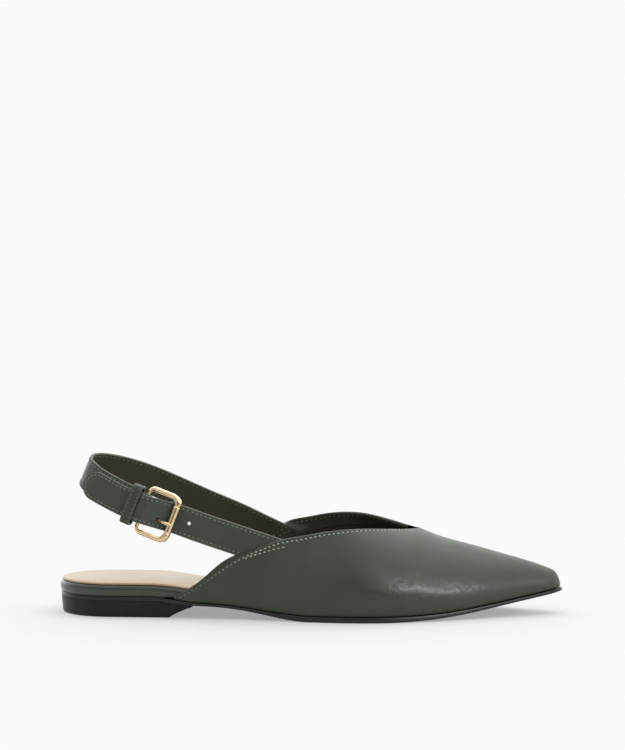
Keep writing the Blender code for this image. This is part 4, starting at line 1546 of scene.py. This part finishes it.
@dataclass
class SlingLine:
    """The sling's middle line round the heel, from the outer wing, and its own directions."""

    # The last's length, the ball's width and the collar's height
    sizes: tuple
    pivot_along: float = 46.9 * MM
    # Along, across and up as shares of the three sizes, and the strap's lean in degrees
    loop: tuple = (
        (0.4700, -0.4010, 0.6597, 15),
        (0.4300, -0.3810, 0.7280, 12),
        (0.3920, -0.3680, 0.7927, 9),
        (0.3020, -0.3627, 0.9496, 7),
        (0.2400, -0.3572, 1.0667, 7),
        (0.1880, -0.3407, 1.1704, 8),
        (0.1430, -0.3096, 1.2608, 10),
        (0.1000, -0.2418, 1.3619, 14),
        (0.0700, -0.1575, 1.4391, 19),
        (0.0535, -0.0513, 1.5056, 22),
        (0.0560, 0.0696, 1.5322, 22),
        (0.0740, 0.1795, 1.5215, 19),
        (0.1000, 0.2491, 1.4896, 15),
        (0.1430, 0.3041, 1.4190, 8),
        (0.2170, 0.3407, 1.2600, 4),
        (0.2930, 0.3462, 1.0830, 4),
        (0.3700, 0.3371, 0.9124, 6),
        (0.4080, 0.3310, 0.8140, 6),
        (0.4380, 0.3460, 0.7342, 5),
        (0.4700, 0.3680, 0.6544, 4),
    )
    rows: Array = field(init=False)
    marks: Array = field(init=False)
    leans: Array = field(init=False)
    end: float = field(init=False)
    pivot: float = field(init=False)

    def __post_init__(self) -> None:
        """Works out the line's marks and where the buckle's pivot lies on it."""
        table = np.asarray(self.loop)
        self.rows = table[:, :3] * np.array(self.sizes)
        self.leans = np.radians(table[:, 3])
        self.marks = path_marks(self.rows)
        self.end = float(self.marks[-1])
        fine = np.linspace(0, self.end, 2000)
        line = self.middle(fine)
        self.pivot = float(fine[np.argmin(np.abs(line[:1000, 0] - self.pivot_along))])

    def middle(self, where: Array) -> Array:
        """Points of the middle line at these marks."""
        return np.column_stack([smooth_curve(self.marks, self.rows[:, i], where) for i in range(3)])

    def axes(self, where: Array) -> tuple[Array, Array, Array]:
        """The strap's own directions.

        Args:
            where: Marks along the line.

        Returns:
            Onwards, up across the strap, and out away from the foot.
        """
        step = 0.2 * MM
        onwards = unit(self.middle(where + step) - self.middle(where - step))
        out = unit(np.column_stack([-onwards[:, 1], onwards[:, 0], np.zeros(len(where))]))
        lean = smooth_curve(self.marks, self.leans, where)[:, None]
        up = np.array([[0, 0, 1.0]]) * np.cos(lean) - out * np.sin(lean)
        up = square_to(up, onwards)
        return onwards, up, np.cross(up, onwards)

    def at(self, ahead: object, up: object = 0.0, out: object = 0.0) -> Array:
        """Points placed from the buckle's pivot.

        Args:
            ahead: How far towards the outer wing.
            up: How far up across the strap.
            out: How far out from the foot.

        Returns:
            The points.
        """
        where = np.atleast_1d(self.pivot - np.asarray(ahead, float))
        _, ups, outs = self.axes(where)
        return self.middle(where) + ups * np.reshape(up, (-1, 1)) + outs * np.reshape(out, (-1, 1))


@dataclass(frozen=True)
class StripSection:
    """The section of a stitched strap: flat faces with a slight crown, soft edges and stitch grooves."""

    crown: float = 0.16 * MM
    inset: float = 1.7 * MM
    groove: float = 0.12 * MM
    groove_half: float = 0.45 * MM
    # The inner face's relief, as a share of the outer one's
    inner_share: float = 0.6
    # The edge's softness, as a share of the thickness and at most of the width
    softness: tuple = (0.8, 0.4)
    # Half the width under which the relief fades
    fading: float = 4 * MM
    # How far round the soft edge is carried, in degrees, and in how many points
    edge_turn: tuple = (80, 9)
    lanes: int = 25

    def ring(self, where: Array, half: Array, deep: Array) -> tuple[Array, Array, Array]:
        """The closed section at each step: crown * (1 - (y / half) ** 2), less the stitch grooves.

        Args:
            where: Places along the strap, for the chart.
            half: Half widths.
            deep: Half thicknesses.

        Returns:
            Section points as steps by points by 2, their chart in metres, and the finish number
            of each strip: 0 outer face, 1 inner face, 2 edge.
        """
        share = -np.cos(np.linspace(0, math.pi, self.lanes))
        half, deep = half[:, None], deep[:, None]
        soft = np.minimum(self.softness[0] * deep, self.softness[1] * half)
        flat = (half - soft) * share[None]
        grooves = self.groove * hump(half - np.abs(flat), self.inset, self.groove_half)
        relief = self.crown * (1 - (flat / half) ** 2) - grooves
        relief = (relief - self.crown) * np.minimum(half / self.fading, 1)
        top = np.stack([flat, deep + relief], axis=-1)
        bottom = np.stack([flat[:, ::-1], -deep - self.inner_share * relief[:, ::-1]], axis=-1)
        reach, count = self.edge_turn
        turn = np.radians(np.linspace(reach, -reach, count))[None, :]
        rim = deep + 0 * turn
        right = np.stack([half - soft + soft * np.cos(turn), rim * np.sin(turn)], axis=-1)
        left = np.stack([-half + soft - soft * np.cos(turn), -rim * np.sin(turn)], axis=-1)
        ring = np.concatenate([top, right, bottom, left, top[:, :1]], axis=1)
        chart = np.stack([np.broadcast_to(where[:, None], ring.shape[:2]), ring[..., 0]], axis=-1)
        kinds = np.repeat([0, 2, 1, 2], [self.lanes - 1, count + 1] * 2)
        return ring, chart, kinds


@dataclass
class Straps:
    """The sling strap, the buckle strap and the keeper."""

    line: SlingLine
    finishes: Finishes
    gap: float = 0.3 * MM
    thickness: float = 1.6 * MM
    width: float = 16 * MM
    tail_width: float = 15.6 * MM
    tail_drop: float = 1.8 * MM
    tail_length: float = 36.6 * MM
    pivot_radius: float = 1.0 * MM
    pivot_lift: float = 0.8 * MM
    prong_radius: float = 0.95 * MM
    fold_thickness: float = 1.0 * MM
    fold_width: float = 13.2 * MM
    prong_hole: float = 9.8 * MM
    prong_drop: float = 4.2 * MM
    prong_hole_radius: float = 1.25 * MM
    spare_hole: float = 25.7 * MM
    hole_radius: float = 0.9 * MM
    keeper_width: float = 5.4 * MM
    keeper_thickness: float = 1.2 * MM
    keeper_behind: float = 5.9 * MM
    keeper_above: float = 0.6 * MM
    keeper_below: float = 3.2 * MM
    keeper_corner: float = 1.6 * MM
    keeper_inset: float = 1.15 * MM
    row_inset: float = 1.7 * MM
    # How deep a row's threads lie in their groove, and how far ahead of the pivot the tail widens
    row_depth: float = 0.05 * MM
    taper: float = 20 * MM
    # The sling's step along, and where it leaves its line for the fold: start, and the settling run
    step: float = 1.1 * MM
    fold_start: float = 6 * MM
    settling: tuple = (-5.4 * MM, -1.4 * MM)
    settled: float = -MM
    narrow_from: float = -5 * MM
    # The sling's thickness where the fold starts to thin, as a share, and the fold's turn in degrees
    thinning: float = 0.95
    fold_turn: tuple = (-90, 115)

    @property
    def fold_bend(self) -> float:
        """Radius of the sling's fold round the pivot, at its middle."""
        return self.pivot_radius + self.gap + self.fold_thickness / 2

    def lift(self, ahead: Array) -> Array:
        """How far the buckle strap stands off the sling's line: over the tail, the pivot and the bar.

        Args:
            ahead: Places ahead of the pivot.

        Returns:
            The strap's middle, out from the line.
        """
        tail = self.thickness + self.gap
        over = self.pivot_lift + self.pivot_radius + 2 * self.prong_radius + 2 * self.gap + self.thickness / 2
        # Ahead of the pivot in millimetres, and how far off the line
        table = (
            (-60, tail),
            (-9, tail),
            (-6.5, 1.15 * tail),
            (-3.5, 0.70 * over),
            (-1.5, 0.97 * over),
            (0.5, over),
            (4, 0.82 * over),
            (10.4, 0.40 * over),
            (16, 0.03 * over),
            (20, 0),
            (100, 0),
        )
        places, offs = columns(table)
        return level_curve(places * MM, offs, ahead)

    def lift_at(self, ahead: float) -> float:
        """How far the buckle strap stands off the sling's line at one place."""
        return float(self.lift(np.array([ahead]))[0])

    def narrowing(self, ahead: Array) -> Array:
        """0 at full width, rising to 1 where the tail has its own width."""
        return np.clip((self.taper - ahead) / self.taper, 0, 1)

    def half_width(self, ahead: Array) -> Array:
        """Half the buckle strap's width, closing as half an ellipse at the tail's end."""
        half = (self.width + (self.tail_width - self.width) * self.narrowing(ahead)) / 2
        return half * rounding(ahead + self.tail_length, self.tail_width / 2)

    def buckle_strap(self) -> list[Piece]:
        """From inside the outer wing, under the bar, over the pivot and on to the round tail.

        Returns:
            The strap and its stitches.
        """
        line = self.line
        radius = self.tail_width / 2
        turning = radius - self.tail_length
        straight = np.linspace(line.pivot, turning, 170)[:-1]
        rounded = turning - radius * np.cos(np.linspace(math.pi / 2, 0.04, 22))
        ahead = np.concatenate([straight, rounded])
        _, up, out = line.axes(line.pivot - ahead)
        middle = line.at(ahead, -self.tail_drop * self.narrowing(ahead), self.lift(ahead))
        along = unit(np.gradient(middle, axis=0))
        facing = unit(np.cross(up, along))
        facing = facing * np.sign((facing * out).sum(axis=1, keepdims=True))
        deep = np.full(len(ahead), self.thickness / 2)
        section, chart, kinds = StripSection().ring(ahead, self.half_width(ahead), deep)
        skin = Skin().add_tube(carry(section, middle, up, facing), chart, kinds, 2)
        layers = [self.finishes.strap, self.finishes.strap_lining, self.finishes.edge]
        strap = put_mesh("stitched_buckle_strap", skin, layers)
        for place, drop, size, deep in (
            (self.prong_hole, -self.prong_drop, self.prong_hole_radius, 0.6 * MM),
            (self.spare_hole, 0.0, self.hole_radius, 4 * MM),
        ):
            where = line.at(place, drop, self.lift_at(place))[0]
            axis = line.axes(np.array([line.pivot - place]))[2][0]
            punch(strap, where, axis, size, deep)
        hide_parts("buckle_strap")
        rows = Skin()
        edge = np.concatenate([np.linspace(line.pivot - 6 * MM, turning, 260), rounded[1:]])
        short = edge > turning
        # Round the tail the row keeps its inset: a smaller half circle about the same centre
        reach = np.clip((turning - edge) / radius, 0, 1)
        small = radius - self.row_inset
        bend = np.where(short, self.half_width(edge) - self.row_inset, small * np.sqrt(1 - reach**2))
        place = np.where(short, edge, turning - small * reach)
        place = np.concatenate([place, place[::-1]])
        height = np.concatenate([bend, -bend[::-1]])
        off = self.lift(place) + self.thickness / 2 - HAIR
        path = line.at(place, height - self.tail_drop * self.narrowing(place), off)
        normal = line.axes(line.pivot - place)[2]
        Stitching().add_row(rows, path, normal)
        stitches = put_mesh("buckle_strap_stitches", rows, [self.finishes.thread])
        return [strap, stitches]

    def sling_strap(self) -> list[Piece]:
        """From inside the inner wing, round the heel, and folded back round the buckle's pivot.

        Returns:
            The strap, and its stitches outside and inside.
        """
        line = self.line
        ahead = line.pivot - np.arange(line.end, line.pivot + self.fold_start, -self.step)
        bend = self.fold_bend
        settle = np.linspace(*self.settling, 7)
        turn = np.radians(np.linspace(*self.fold_turn, 25))
        settle_off = (self.pivot_lift - bend) * ease(settle, -self.fold_start, self.settled)
        places = np.concatenate([ahead, settle, bend * np.cos(turn)])
        offs = np.concatenate([0 * ahead, settle_off, self.pivot_lift + bend * np.sin(turn)])
        thin = np.linspace(self.thinning * self.thickness, self.fold_thickness, len(settle))
        deep = np.concatenate([0 * ahead + self.thickness, thin, 0 * turn + self.fold_thickness]) / 2
        _, up, _ = line.axes(line.pivot - places)
        middle = line.at(places, 0.0, offs)
        facing = unit(np.cross(np.gradient(middle, axis=0), up))
        half = np.where(places > self.narrow_from, self.fold_width, self.width) / 2
        section, chart, kinds = StripSection().ring(places, half, deep)
        skin = Skin().add_tube(carry(section, middle, up, facing), chart, kinds, 2)
        layers = [self.finishes.strap, self.finishes.strap_lining, self.finishes.edge]
        strap = put_mesh("stitched_sling_strap", skin, layers)
        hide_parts("sling_strap")
        outside, within = Skin(), Skin()
        row = np.linspace(-7 * MM, line.pivot - line.end + 2 * MM, 500)
        normal = line.axes(line.pivot - row)[2]
        for side in (-1, 1):
            height = side * (self.width / 2 - self.row_inset)
            off = self.thickness / 2 - self.row_depth
            Stitching().add_row(outside, line.at(row, height, off), normal)
            Stitching().add_row(within, line.at(row, height, -off), -normal)
        return [
            strap,
            put_mesh("sling_stitches", outside, [self.finishes.thread]),
            put_mesh("sling_lining_stitches", within, [self.finishes.shaded_thread]),
        ]

    def keeper(self) -> list[Piece]:
        """A closed loop of strap leather round both straps, just behind the buckle, stitched twice.

        Returns:
            The loop and its stitches.
        """
        line = self.line
        where = np.array([line.pivot + self.keeper_behind])
        onwards, up, out = (axis[0] for axis in line.axes(where))
        centre = line.middle(where)[0]
        half = self.keeper_thickness / 2
        low = self.pivot_lift - self.fold_bend - self.thickness / 2 - self.gap - half
        front = self.keeper_behind - self.keeper_width / 2
        high = self.lift_at(-front) + self.thickness / 2 + self.gap + half
        top = self.width / 2 + self.keeper_above + half
        bottom = -self.width / 2 - self.keeper_below - half
        corner = self.keeper_corner
        corners_y = np.array([top, bottom, bottom, top])
        corners_z = np.array([high, high, low, low])
        turns = np.radians(np.linspace(0, 90, 8))[None, :] + np.radians([0, 90, 180, 270])[:, None]
        middle_y = corners_y - np.copysign(corner, corners_y)
        middle_z = corners_z - np.copysign(corner, corners_z - (low + high) / 2)
        direction = up * np.cos(turns)[..., None] + out * np.sin(turns)[..., None]
        ring = centre + up * middle_y[:, None, None] + out * middle_z[:, None, None] + direction * corner
        ring, facing = ring.reshape(-1, 3), direction.reshape(-1, 3)
        # Long stretches get their own steps, so that the stitch grooves stay even
        ring, facing = (np.concatenate([item, item[:1]]) for item in (ring, facing))
        marks = path_marks(ring)
        fine = np.unique(np.concatenate([marks, np.linspace(0, marks[-1], 70)]))
        ring, facing = (between(fine, marks, item) for item in (ring, facing))
        facing = unit(facing)
        across = np.repeat(onwards[None, :], len(ring), axis=0)
        shape = StripSection(crown=0.1 * MM, inset=self.keeper_inset, groove=0.1 * MM, lanes=15)
        size = np.full(len(ring), self.keeper_width / 2)
        section, chart, kinds = shape.ring(fine, size, 0 * size + half)
        skin = Skin().add_grid(carry(section, ring, across, facing), chart, kinds)
        layers = [self.finishes.keeper, self.finishes.strap_lining, self.finishes.edge]
        loop = put_mesh("stitched_keeper", skin, layers)
        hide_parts("keeper")
        rows = Skin()
        stitching = Stitching(pitch=2.2 * MM, float_length=1.3 * MM, width=0.5 * MM)
        for side in (-1, 1):
            offset = across * side * (self.keeper_width / 2 - self.keeper_inset)
            stitching.add_row(rows, ring + offset + facing * (half - self.row_depth), facing)
        return [loop, put_mesh("keeper_stitches", rows, [self.finishes.shaded_thread])]


# Buckle


@dataclass
class Buckle:
    """The plated frame and its prong."""

    straps: Straps
    finishes: Finishes
    length: float = 16.8 * MM
    inside: float = 21.4 * MM
    drop: float = 1.5 * MM
    corner: float = 4.2 * MM
    pivot_corner: float = 2.8 * MM
    frame_radius: float = 1.45 * MM
    bar_radius: float = 2.0 * MM
    # Where the frame swells to the bar, back from the bar's middle, and how it thins to the pivot
    swelling: tuple = (2.6 * MM, 0.6 * MM)
    pivot_run: float = 3 * MM
    # The seams at the bar's ends: depth, place in from the corner, half width
    seam: tuple = (0.4 * MM, 0.4 * MM, 0.3 * MM)
    # The prong's end: how much thinner it is, as a share, and its round
    prong_thinning: float = 0.35
    prong_round: float = 0.6 * MM
    # Share of the buckle's length, and of the prong's height where it rests on the bar
    prong_bends: tuple = ((0.27, 0.09), (0.45, 0.14), (0.58, 0.34), (0.71, 0.60), (0.85, 0.88), (1.04, 1.00))

    @property
    def line(self) -> SlingLine:
        """The sling's line that the buckle sits on."""
        return self.straps.line

    def bar_off(self) -> float:
        """How far the front bar's middle stands off the sling's line."""
        straps = self.straps
        return straps.thickness / 2 + straps.gap + self.bar_radius + straps.lift_at(self.length)

    def axes(self) -> tuple[Array, Array, Array, Array, Array]:
        """The frame's own place.

        Returns:
            Pivot centre, bar centre, and the forward, up and out directions.
        """
        pivot = self.line.at(0.0, -self.drop, self.straps.pivot_lift)[0]
        bar = self.line.at(self.length, -self.drop, self.bar_off())[0]
        forward = unit(bar - pivot)
        ups = self.line.axes(np.array([self.line.pivot - self.length / 2]))[1][0]
        up = unit(ups - forward * (ups @ forward))
        return pivot, bar, forward, up, np.cross(forward, up)

    def frame(self) -> Piece:
        """A round bar carried along a rounded rectangle: thick in front, thin along the pivot.

        Returns:
            The piece.
        """
        pivot, bar, forward, up, _ = self.axes()
        long = float(np.linalg.norm(bar - pivot))
        tall = self.inside / 2 + self.frame_radius
        turn = np.linspace(0, 90, 14)
        xs, ys, headings = [], [], []
        for x, y, start in ((long, tall, 0), (0, tall, 90), (0, -tall, 180), (long, -tall, 270)):
            size = self.corner if x > 0 else self.pivot_corner
            angle = np.radians(start + turn)
            xs.append(abs(x - size) + size * np.cos(angle))
            ys.append(y - math.copysign(size, y) + size * np.sin(angle))
            headings.append(angle)
        x, y, angle = (np.concatenate(item) for item in (xs, ys, headings))
        x, y, angle = (np.append(item, item[0]) for item in (x, y, angle))
        angle[-1] += 2 * math.pi
        marks = path_marks(np.column_stack([x, y]))
        fine = np.unique(np.concatenate([marks, np.linspace(0, marks[-1], 360)]))
        x, y, angle = (np.interp(fine, marks, item) for item in (x, y, angle))
        thin = self.straps.pivot_radius
        radius = thin + (self.frame_radius - thin) * ease(x, 0, self.pivot_run)
        front = ease(x, *(long - back for back in self.swelling))
        depth, inwards, half = self.seam
        seam = depth * hump(np.abs(y), tall - self.corner - inwards, half)
        radius = radius + front * (self.bar_radius - self.frame_radius - seam)
        middle = pivot + forward * x[:, None] + up * y[:, None]
        across = forward * np.cos(angle)[:, None] + up * np.sin(angle)[:, None]
        out = np.repeat(np.cross(forward, up)[None], len(x), axis=0)
        skin = Skin().add_grid(carry(circle(32, radius), middle, across, out))
        made = put_mesh("gold_buckle_frame", skin, [self.finishes.gold])
        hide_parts("buckle_frame")
        return made

    def prong(self) -> Piece:
        """An eye round the pivot, and a shank that comes up through the strap to rest on the bar.

        Returns:
            The piece.
        """
        straps, line = self.straps, self.line
        eye = straps.pivot_radius + straps.gap + straps.prong_radius
        rest = self.bar_off() + self.bar_radius + straps.gap + straps.prong_radius
        shares, heights = columns(self.prong_bends)
        places = np.append(eye, self.length * shares)
        offs = np.append(straps.pivot_lift, rest * heights)
        fine = np.linspace(places[0], places[-1], 70)
        path = line.at(fine, -straps.prong_drop, smooth_curve(places, offs, fine))
        _, ups, _ = line.axes(line.pivot - fine)
        along = unit(np.gradient(path, axis=0))
        across = square_to(ups, along)
        last_part = np.clip((fine - places[-2]) / (places[-1] - places[-2]), 0, 1)
        thin = 1 - self.prong_thinning * last_part**2
        thin = thin * rounding(places[-1] + HAIR - fine, self.prong_round)
        section = circle(24, straps.prong_radius * thin)
        skin = Skin().add_tube(carry(section, path, across, np.cross(along, across)))
        pivot, _, forward, up, out = self.axes()
        centre = pivot - up * (straps.prong_drop - self.drop)
        turn = np.linspace(0, 2 * math.pi, 49)
        spoke = forward * np.cos(turn)[:, None] + out * np.sin(turn)[:, None]
        round_bar = circle(24, np.full(len(turn), straps.prong_radius))
        upright = np.repeat(up[None], len(turn), axis=0)
        skin.add_grid(carry(round_bar, centre + spoke * eye, spoke, upright))
        made = put_mesh("gold_buckle_prong", skin, [self.finishes.gold])
        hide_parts("buckle_prong")
        return made


# Studio


@dataclass
class Studio:
    """Pale floor, soft lights and the camera at the photograph's angle."""

    yaw: float = 3.0
    shoe_elevation: float = 8.3
    distance: float = 4.0
    frame_height: float = 0.402
    # The point under the vamp that the framing was measured from, and its place in the picture
    anchor: tuple = (0.134, 0.0, 0.0)
    anchor_right: float = 28.7 * MM
    anchor_below: float = 127.1 * MM
    # The way to the room's bright side, and its brightness in front, behind and added overhead
    towards: tuple = (0.3, 0.95, 0.0)
    front: float = 0.53
    back: float = 1.85
    overhead: float = 0.5
    # The way to the dark end of the room in front, and what it takes off there
    dark: tuple = (0.05, -0.99, 0.14)
    darkening: float = -0.45
    # The way to a lamp high in front, and what it adds there
    strip: tuple = (0.0, -0.73, 0.68)
    strip_light: float = 0.6
    # The lit paper: its own glow, and its grey
    glow: float = 0.34
    paper: str = "#AFAFAF"
    floor_half: float = 12.0
    # Soft boxes: name, place, the point that it faces, its two sizes, and its power in watts
    boxes: tuple = (
        ("overhead_box", (0.10, 0.25, 1.5), (0.10, 0.0, 0.03), (1.4, 1.0), 4.5),
        ("toe_side_box", (1.06, -0.95, 0.66), (0.15, 0.0, 0.03), (0.8, 0.22), 5.5),
    )
    lit: bpy.types.Collection | None = None

    def camera(self) -> None:
        """A long lens, level across, whose line of sight meets the shoe at its measured elevation."""
        tilt = math.radians(self.shoe_elevation) - math.atan(self.anchor_below / self.distance)
        yaw = math.radians(self.yaw)
        right = np.array([math.cos(yaw), math.sin(yaw), 0])
        back = np.array([math.sin(yaw) * math.cos(tilt), -math.cos(yaw) * math.cos(tilt), math.sin(tilt)])
        up = np.cross(back, right)
        place = np.array(self.anchor) + back * self.distance
        place = place - right * self.anchor_right + up * self.anchor_below
        data = bpy.data.cameras.new("studio_camera")
        data.sensor_width = 36.0
        data.lens = data.sensor_width * self.distance / self.frame_height
        data.clip_end = 100.0
        camera = bpy.data.objects.new("studio_camera", data)
        camera.matrix_world = facing_matrix(right, up, back, place)
        bpy.context.scene.collection.objects.link(camera)
        bpy.context.scene.camera = camera

    def light(self, name: str, place: tuple, aim: tuple, size: tuple, power: float) -> None:
        """One soft box, turned to face a point. It lights the shoe alone, so the paper stays even.

        Args:
            name: The lamp's name.
            place: Where it stands.
            aim: The point that it faces.
            size: Its width and height.
            power: Its power in watts.
        """
        data = bpy.data.lights.new(name, "AREA")
        data.shape = "RECTANGLE"
        data.size, data.size_y = size
        data.energy = power
        back = unit(np.array(place) - np.array(aim))
        right = unit(np.cross([0, 0, 1.0], back) + [1e-6, 0, 0])
        lamp = bpy.data.objects.new(name, data)
        lamp.matrix_world = facing_matrix(right, np.cross(back, right), back, place)
        lamp.light_linking.receiver_collection = self.lit
        bpy.context.scene.collection.objects.link(lamp)

    def room(self) -> None:
        """A white room: brightness rises smoothly towards its bright side, and again overhead."""
        room = bpy.data.worlds.new("white_room")
        room.use_nodes = True
        tree = room.node_tree
        direction = add_node(tree, "ShaderNodeTexCoord", {}).outputs["Generated"]
        # Direction, the cosines to it where its light starts and is full, and its brightness there
        spans = (
            (self.towards, -0.4, 0.6, self.front, self.back),
            ((0, 0, 1), 0.2, 0.9, 0.0, self.overhead),
            (self.dark, 0.90, 0.985, 0.0, self.darkening),
            (self.strip, 0.965, 0.99, 0.0, self.strip_light),
        )
        total: object = 0.0
        for axis, *span in spans:
            along = add_node(tree, "ShaderNodeVectorMath", {0: direction, 1: axis}, operation="DOT_PRODUCT")
            inputs = dict(zip(("From Min", "From Max", "To Min", "To Max"), span))
            inputs["Value"] = along.outputs["Value"]
            made = add_node(tree, "ShaderNodeMapRange", inputs, interpolation_type="SMOOTHSTEP")
            total = add_node(tree, "ShaderNodeMath", {0: total, 1: made.outputs["Result"]}).outputs["Value"]
        backdrop = tree.nodes["Background"]
        backdrop.inputs["Color"].default_value = (1.0, 1.0, 1.0, 1.0)
        tree.links.new(total, backdrop.inputs["Strength"])
        bpy.context.scene.world = room

    def build(self, pieces: list[Piece]) -> None:
        """The floor, the room's soft light, two soft boxes and the camera.

        Args:
            pieces: The shoe's pieces, which the soft boxes light.
        """
        self.lit = bpy.data.collections.new("lit_by_soft_boxes")
        for piece in pieces:
            self.lit.objects.link(piece)
        self.room()
        bpy.context.scene.view_settings.view_transform = "Standard"
        for box in self.boxes:
            self.light(*box)
        span = self.floor_half
        corners = np.array([[[-span, -span, 0], [span, -span, 0]], [[-span, span, 0], [span, span, 0]]])
        paper = Shade("matt_white_paper")
        finish = paper.dress(
            Base_Color=linear(self.paper),
            Roughness=0.9,
            Specular_IOR_Level=0.0,
            Emission_Color=(1.0, 1.0, 1.0, 1.0),
            Emission_Strength=self.glow,
        )
        mesh = bpy.data.meshes.new("studio_floor")
        mesh.from_pydata((corners.reshape(-1, 3) - [0, 0, HAIR]).tolist(), [], [(0, 1, 3, 2)])
        mesh.materials.append(finish)
        floor = bpy.data.objects.new("studio_floor", mesh)
        bpy.context.scene.collection.objects.link(floor)
        self.camera()


def main() -> None:
    """Loads the frame, builds every assembly in order, reports the pieces and builds the studio."""
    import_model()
    finishes = Finishes.make()
    last = Last()
    bottom = Bottom(last, finishes)
    footbed = Footbed(last, finishes)
    upper = Upper(last, finishes)
    line = SlingLine((last.length, last.ball_width, upper.collar_height))
    straps = Straps(line, finishes)
    buckle = Buckle(straps, finishes)
    pieces = [
        bottom.outsole(),
        bottom.heel(),
        footbed.rand(),
        footbed.insole(),
        *upper.build(line),
        *straps.sling_strap(),
        *straps.buckle_strap(),
        *straps.keeper(),
        buckle.frame(),
        buckle.prong(),
    ]
    for piece in pieces:
        LOG.info("%s: %d faces", piece.name, len(piece.data.polygons))
    Studio().build(pieces)


if __name__ == "__main__":
    main()
